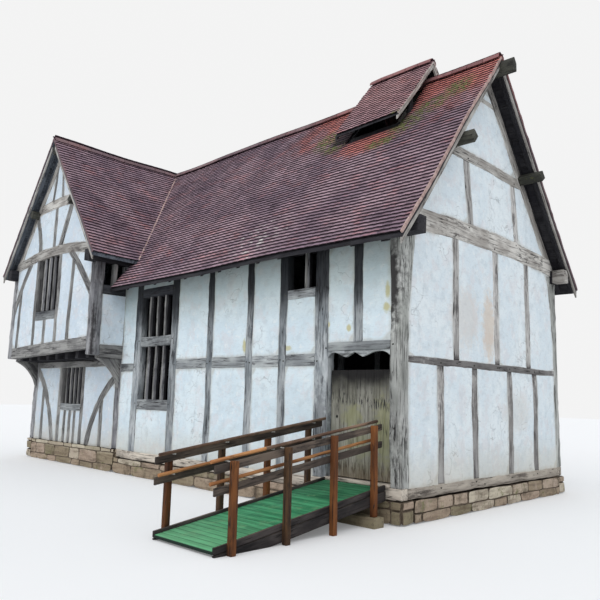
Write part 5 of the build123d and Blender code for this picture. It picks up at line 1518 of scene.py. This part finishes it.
wing_ends = [(every_face, (0, WING_FRONT - OVERHANG, 0), (0, -1, 0)),
             (every_face, (0, WING_REAR + OVERHANG, 0), (0, 1, 0))]
front_valley = Vector((VALLEY_REACH, VALLEY_X - WING_MID, 0)).normalized()
rear_valley = Vector((VALLEY_REACH, WING_MID - VALLEY_X, 0)).normalized()
wing_valleys = [(lambda face: face.center.y < MID_Y, (WING_MID, MID_Y, 0), front_valley),
                (lambda face: face.center.y > MID_Y, (WING_MID, MID_Y, 0), rear_valley)]
for side, word, keep, trims, seed in ((-1, "left", None, wing_ends, 7),
                                      (1, "right", on_wing_right, wing_ends + wing_valleys, 8)):
    eave = (WING_MID + side * (WING_RUN + OVERHANG), (WING_FRONT + WING_REAR) / 2, WING_EAVE_Z)
    lay("wing_tiles_" + word, eave, WING_REAR - WING_FRONT, WING_RUN / math.cos(WING_PITCH),
        WING_PITCH, side * math.pi / 2, keep, trims, seed)

# %% [markdown]
# ### The louvre
# The smoke louvre is a small roof of the same tiles, on legs over the hole in the hall's ridge.
# Its tiles are paler than the others. After it the one loose tile isn't needed any more.

# %% Lay the louvre
louvre_low, louvre_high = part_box("louvre_roof")
louvre_run = (louvre_high.y - louvre_low.y) / 2
louvre_eave = louvre_high.z - louvre_run * HALL_RISE
louvre_ends = [(every_face, (louvre_high.x + OVERHANG, 0, 0), (1, 0, 0)),
               (every_face, (louvre_low.x - OVERHANG, 0, 0), (-1, 0, 0))]
for side, turn, word in ((-1, 0, "front"), (1, math.pi, "rear")):
    eave = ((louvre_low.x + louvre_high.x) / 2, MID_Y + side * (louvre_run + OVERHANG), louvre_eave)
    cap = lay("louvre_tiles_" + word, eave, louvre_high.x - louvre_low.x,
              louvre_run / math.cos(HALL_PITCH), HALL_PITCH, turn, None, louvre_ends, 11 + side)
    cap.data.materials[0] = louvre_tile
pick(tile)
bpy.ops.object.delete()

# %% [markdown]
# ### One ridge tile
# A row of bent tiles in mortar caps each ridge. One is a short half pipe with a thick wall and
# rounded edges. An array sets the row, with a gap that shows the mortar line.

# %% A row of ridge tiles
RIDGE_TILE_LONG, RIDGE_TILE_RADIUS, RIDGE_GAP, BEDDED = 0.33, 0.115, 0.008, 0.085


def row_of_ridge_tiles(start, end, count):
    """The row lies along x, with its middle line at height 0."""
    each = (end - start) / count
    bpy.ops.mesh.primitive_cylinder_add(
        vertices=12, radius=RIDGE_TILE_RADIUS, depth=each - RIDGE_GAP, location=(0, 0, 0),
        rotation=(0, math.pi / 2, 0), end_fill_type="NOTHING")
    row = bpy.context.active_object
    settle(row)
    edit(row, lambda face: face.center.z < -0.02)
    bpy.ops.mesh.delete(type="FACE")
    done()
    modify(row, "SOLIDIFY", thickness=0.016, offset=-1)
    modify(row, "BEVEL", width=0.004, segments=1, limit_method="ANGLE")
    row.location = (start + each / 2, 0, 0)
    settle(row)
    modify(row, "ARRAY", count=count, use_relative_offset=False, use_constant_offset=True,
           constant_offset_displace=(each, 0, 0))
    return row


print("a ridge tile is", RIDGE_TILE_LONG, "m long")

# %% [markdown]
# The row is set on its ridge, roughened, and sags with the roof. Each tile of it gets a random
# shade. The array keeps the points of one tile together, so a count finds whose point it is.


# %% Ridge rows
def ridge_row(name, start, end, top, along_y=False):
    count = max(1, round((end - start) / RIDGE_TILE_LONG))
    row = row_of_ridge_tiles(start, end, count)
    row.rotation_euler = (0, 0, math.pi / 2 if along_y else 0)
    row.location = (WING_MID if along_y else 0, 0 if along_y else MID_Y, top - BEDDED)
    settle(row)
    warp(row, 0, 0.02)
    sag(row)
    chance = random.Random(5)
    shades = [chance.random() for _ in range(count)]
    total = len(row.data.vertices)
    per_tile = total // count
    store(row.data, "shade", [shades[min(index // per_tile, count - 1)] for index in range(total)])
    hand_over(row, name, [ridge_clay])


ridge_row("hall_ridge_tiles", WING_MID + 0.1, HALL_VERGE, RIDGE_Z + 0.045)
ridge_row("wing_ridge_tiles", WING_FRONT, WING_REAR, RIDGE_Z + 0.01, True)
ridge_row("louvre_ridge_tiles", louvre_low.x, louvre_high.x, louvre_high.z + 0.035)

# %% [markdown]
# ### Mortar in the valleys and at the verges
# Where two slopes meet, and along the open edges of a roof, the tiles are bedded in lime mortar.
# It shows as a ragged line. Each fillet is a bar laid along the edge, cut short and warped.


# %% One fillet
def fillet(name, start, end, wide, high, finish):
    start, end = Vector(start), Vector(end)
    run = end - start
    bpy.ops.mesh.primitive_cube_add(size=1)
    bar = bpy.context.active_object
    bar.scale = (run.length, wide, high)
    settle(bar)
    chop(bar, 0.12, "x")
    modify(bar, "BEVEL", width=min(wide, high) * 0.3, segments=2, limit_method="ANGLE", angle_limit=0.9)
    bar.rotation_euler = (0, -math.asin(run.z / run.length), math.atan2(run.y, run.x))
    bar.location = (start + end) / 2
    settle(bar)
    warp(bar, 0, 0.03)
    sag(bar)
    hand_over(bar, name, [finish])


print("ready for mortar")

# %% [markdown]
# Each valley gets a fillet, and so does each half of a verge: the hall's, the louvre's and the
# two of the wing. The mortar is pink in the valleys and on the hall's front, and pale on the
# louvre. The other fillets are as brown as the ridge.

# %% Lay the mortar
valley_top = (WING_MID + 0.02, MID_Y, RIDGE_Z + 0.01)
hall_x = HALL_VERGE + 0.002
for side, word in ((-1, "front"), (1, "rear")):
    valley_foot = (VALLEY_X, MID_Y + side * VALLEY_REACH, RIDGE_Z - VALLEY_REACH * HALL_RISE + 0.01)
    fillet("valley_mortar_" + word, valley_top, valley_foot, 0.05, 0.026, pink_mortar)
    eave = (hall_x, MID_Y + side * (HALL_RUN + 0.03), HALL_EAVE_Z - 0.035)
    finish = pink_mortar if side < 0 else ridge_clay
    fillet("hall_verge_mortar_" + word, (hall_x, MID_Y, RIDGE_Z - 0.02), eave, 0.03, 0.05, finish)
    top = (louvre_high.x, MID_Y, louvre_high.z - 0.02)
    eave = (louvre_high.x, MID_Y + side * louvre_run, louvre_eave - 0.03)
    fillet("louvre_verge_mortar_" + word, top, eave, 0.03, 0.04, mortar)
for side, word in ((-1, "left"), (1, "right")):
    for verge, end_word in ((WING_FRONT, "front"), (WING_REAR, "rear")):
        top = (WING_MID, verge, RIDGE_Z - 0.02)
        eave = (WING_MID + side * (WING_RUN + 0.02), verge, WING_EAVE_Z - 0.03)
        fillet("wing_verge_mortar_" + word + "_" + end_word, top, eave, 0.03, 0.045, ridge_clay)

# %% [markdown]
# ## Barge boards, rafters and louvre legs
# They move with the roof, so they sag with it and are not warped. What stands near the louvre,
# and the rafters over the hall, are black: soot of the hearth, and painted shade under the roof.

# %% Boards under the verges
for node, finish in (("barge_boards", pale_oak), ("common_rafters", soffit_oak),
                     ("louvre_legs", soot_and_shade_oak)):
    board = start_from(node)
    modify(board, "BEVEL", width=0.006, segments=2, limit_method="ANGLE", angle_limit=0.6)
    chop(board, 0.6, "xy")
    sag(board)
    mark_grain(board, 4)
    hand_over(board, node + "_worn", [finish], [node])
    dark_from_x = -7.6 if node == "common_rafters" else math.inf
    refinish(board, soot_and_shade_oak,
             lambda face: -3.5 < face.center.x < -2.0 or face.center.x > dark_from_x)

# %% [markdown]
# ## The stone plinth
# The walls of the plinth are cut by level beds, and then each course by upright joints of its
# own, so that they break bond.


# %% Cut a wall into blocks
def cut_blocks(wall, beds, long_block, chance):
    low, high = reach(wall)
    for level in beds:
        edit(wall)
        bpy.ops.mesh.bisect(plane_co=(0, 0, level), plane_no=(0, 0, 1))
        done()
    levels = [low[2]] + list(beds) + [high[2]]
    for bottom, top in zip(levels, levels[1:]):
        for side in (0, 1):
            spot = low[side] + chance.uniform(0.2, long_block)
            while spot < high[side] - 0.12:
                point, normal = [0, 0, 0], [0, 0, 0]
                point[side], normal[side] = spot, 1
                edit(wall, lambda face: bottom < face.center.z < top and abs(face.normal.z) < 0.5)
                bpy.ops.mesh.bisect(plane_co=point, plane_no=normal)
                done()
                spot += chance.uniform(0.6, 1.3) * long_block


print("ready to cut blocks")

# %% [markdown]
# The blocks are warped as the timbers are. Then each face is drawn in a little to leave a joint
# of earth, pushed out, rounded and roughened. A block's shade is stored on its faces. No point
# goes below the ground.


# %% Lay the stones
def lay_stones(node, beds, long_block, seed, bulge, rough):
    wall = start_from(node)
    chance = random.Random(seed)
    cut_blocks(wall, beds, long_block, chance)
    warp(wall, 0.03, 0.05)
    edit(wall, lambda face: abs(face.normal.z) < 0.5 and face.area > 0.006)
    bpy.ops.mesh.inset(thickness=0.009, depth=bulge, use_individual=True)
    done()
    shades = wall.data.attributes.new("shade", "FLOAT", "FACE").data
    for face in wall.data.polygons:
        shades[face.index].value = chance.random()
        face.material_index = 0 if face.select else 1
    bpy.ops.object.mode_set(mode="EDIT")
    bpy.ops.mesh.subdivide(number_cuts=3)
    done()
    modify(wall, "SMOOTH", factor=0.6, iterations=3)
    modify(wall, "DISPLACE", texture=ragged_cloud, strength=rough, mid_level=0.5, direction="NORMAL",
           texture_coords="LOCAL")
    for point in wall.data.vertices:
        point.co.z = max(point.co.z, 0)
    bands = [face.material_index for face in wall.data.polygons]
    hand_over(wall, node + "_stones", [sandstone, joint_earth], [node], smooth=40)
    wall.data.polygons.foreach_set("material_index", bands)


lay_stones("long_plinth_walls", (0.22, 0.44), 1.0, seed=4, bulge=0.016, rough=0.035)
lay_stones("end_plinth_walls", (0.15, 0.42), 0.7, seed=9, bulge=0.022, rough=0.055)

# %% [markdown]
# ## The ramp
# Its deck is boards laid crosswise. The solid is cut at each joint, every board's top is drawn in
# and lifted, and the joints stay dark.

# %% Deck boards
DECK_BOARD, DECK_EDGE, DECK_LIFT = 0.105, 0.009, 0.006
deck = start_from("ramp_deck")
chop(deck, DECK_BOARD, "y")
edit(deck, lambda face: face.normal.z > 0.7)
bpy.ops.mesh.inset(thickness=DECK_EDGE, depth=0, use_individual=True)
bpy.ops.transform.translate(value=(0, 0, DECK_LIFT))
done()
raised = {index for face in deck.data.polygons if face.select for index in face.vertices}
points = range(len(deck.data.vertices))
store(deck.data, "edge", [0.0 if index in raised else 1.0 for index in points])
hand_over(deck, "ramp_deck_boards", [deck_green], ["ramp_deck"])

# %% [markdown]
# ### Posts and boards of the ramp
# The second pair of posts and the left hand one at the door are darker. The boards are paler on
# top. The bearers end on a stone footing.

# %% Posts, boards and bearers
SECOND_POST_Y = -2.094


def is_dark_post(face):
    second = abs(face.center.y - SECOND_POST_Y) < 0.3
    return second or (face.center.x < -0.9 and face.center.y > -0.8)


posts = make_timbers("ramp_posts", post_wood, "z", 0.4, 0.006, 0, 0.004)
refinish(posts, far_post_wood, is_dark_post)
for node, wood in (("ramp_side_boards", bearer_wood), ("ramp_rails", board_wood)):
    boards = make_timbers(node, wood, "y", 0.3, 0.006, 0, 0.006)
    refinish(boards, board_wood, lambda face: face.normal.z > 0.7)
bearers = make_timbers("ramp_bearers", bearer_wood, "y", 0.15, 0.008, 0, 0.01)
refinish(bearers, sandstone, lambda face: face.center.y > -0.8 and face.center.z < 0.2)

# %% [markdown]
# ### Poles of the ramp
# The poles run along with the slope, one above the other. The lower ones are of newer wood, and
# so is the near end on the right. The height over the slope tells which pole a face is on.

# %% Poles
RAMP_FOOT_Y, RAMP_FOOT_Z, RAMP_RISE = -3.17, 0.06, 0.1406


def is_newer_pole(face):
    over_slope = face.center.z - RAMP_FOOT_Z - (face.center.y - RAMP_FOOT_Y) * RAMP_RISE
    return over_slope < 0.85 or (face.center.x > -0.9 and face.center.y < -2.5)


poles = make_timbers("ramp_poles", pole_wood, "y", 0.3, 0.004, 0, 0.006)
refinish(poles, low_pole_wood, is_newer_pole)

# %% [markdown]
# ## The door, its threshold and its head
# The planks are bevelled along their edges, so that a dark line parts them. The planks and the
# ledges behind them ride on the body named door, and turn with it.

# %% Door timbers
make_timbers("threshold", foot_oak, "x", 0.2, 0.008, 0, 0.008)
make_timbers("door_head_board", rail_oak, "x", 0.2, 0.004, 0, 0.004)
make_timbers("door_boards", door_oak, "z", 0.2, 0.006, 0, 0.005, "door")
make_timbers("door_ledges", door_oak, "x", 0.3, 0.006, 0, 0.004, "door")

# %% [markdown]
# ## The other solids
# Floors and ironwork keep their shape and get their finish.

# %% Finishes on the solids that stay
# The upper floor takes the finish of soot and painted shade, as it lies inside.
for node, finish in (("ground_floor", packed_earth), ("upper_floor", soot_and_shade), ("door_pins", black_iron),
                     ("door_straps", black_iron), ("ramp_pole_brackets", zinc)):
    solid = frame["nodes"][node]
    solid.data.materials.clear()
    solid.data.materials.append(finish)
print("finishes on the solids set")

# %% [markdown]
# ## The floor
# A wide pale floor takes the shadow. Where the camera looks at it, it also glows a little, so
# that it stays white without throwing more light on the house.

# %% Floor
bpy.ops.mesh.primitive_plane_add(size=160, location=(0, 0, 0))
floor = bpy.context.active_object
floor.name = "floor"
floor_finish, shader, here = new_finish("pale_floor", 0.9, 0.1)
seen = put("LightPath").outputs["Is Camera Ray"]
plug(shader, {"Base Color": (0.78, 0.78, 0.78, 1), "Emission Color": (1, 1, 1, 1),
              "Emission Strength": times(seen, 0.14)})
floor.data.materials.append(floor_finish)
floor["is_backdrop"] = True
print("floor", floor.dimensions.x, "m wide")

# %% [markdown]
# ## The light
# The light from all round is even and white, and a little bluer for the house than for the
# camera. One very soft sun stands in front, so that the underside of the eaves stays dark.

# %% World and sun
world = bpy.data.worlds.new("overcast")
bpy.context.scene.world = world
world.use_nodes = True
hand["tree"] = world.node_tree
seen = put("LightPath").outputs["Is Camera Ray"]
bluish = put("Mix", {0: seen, 6: (0.93, 0.96, 1.0, 1), 7: (0.9, 0.9, 0.9, 1)}, data_type="RGBA")
plug(world.node_tree.nodes["Background"],
     {"Color": bluish.outputs[2], "Strength": plus(times(seen, 0.15), 0.85)})
bpy.ops.object.light_add(type="SUN", location=(4, -10, 12),
                         rotation=(math.radians(42), 0, math.radians(18)))
sun = bpy.context.active_object
sun.data.energy = 0.9
sun.data.angle = math.radians(60)
print("sun of strength", round(sun.data.energy, 1))

# %% [markdown]
# ## The size of the dressed house
# The box of the dressed house is printed.

# %% Sizes
low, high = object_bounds()
print("dressed box", low, high)
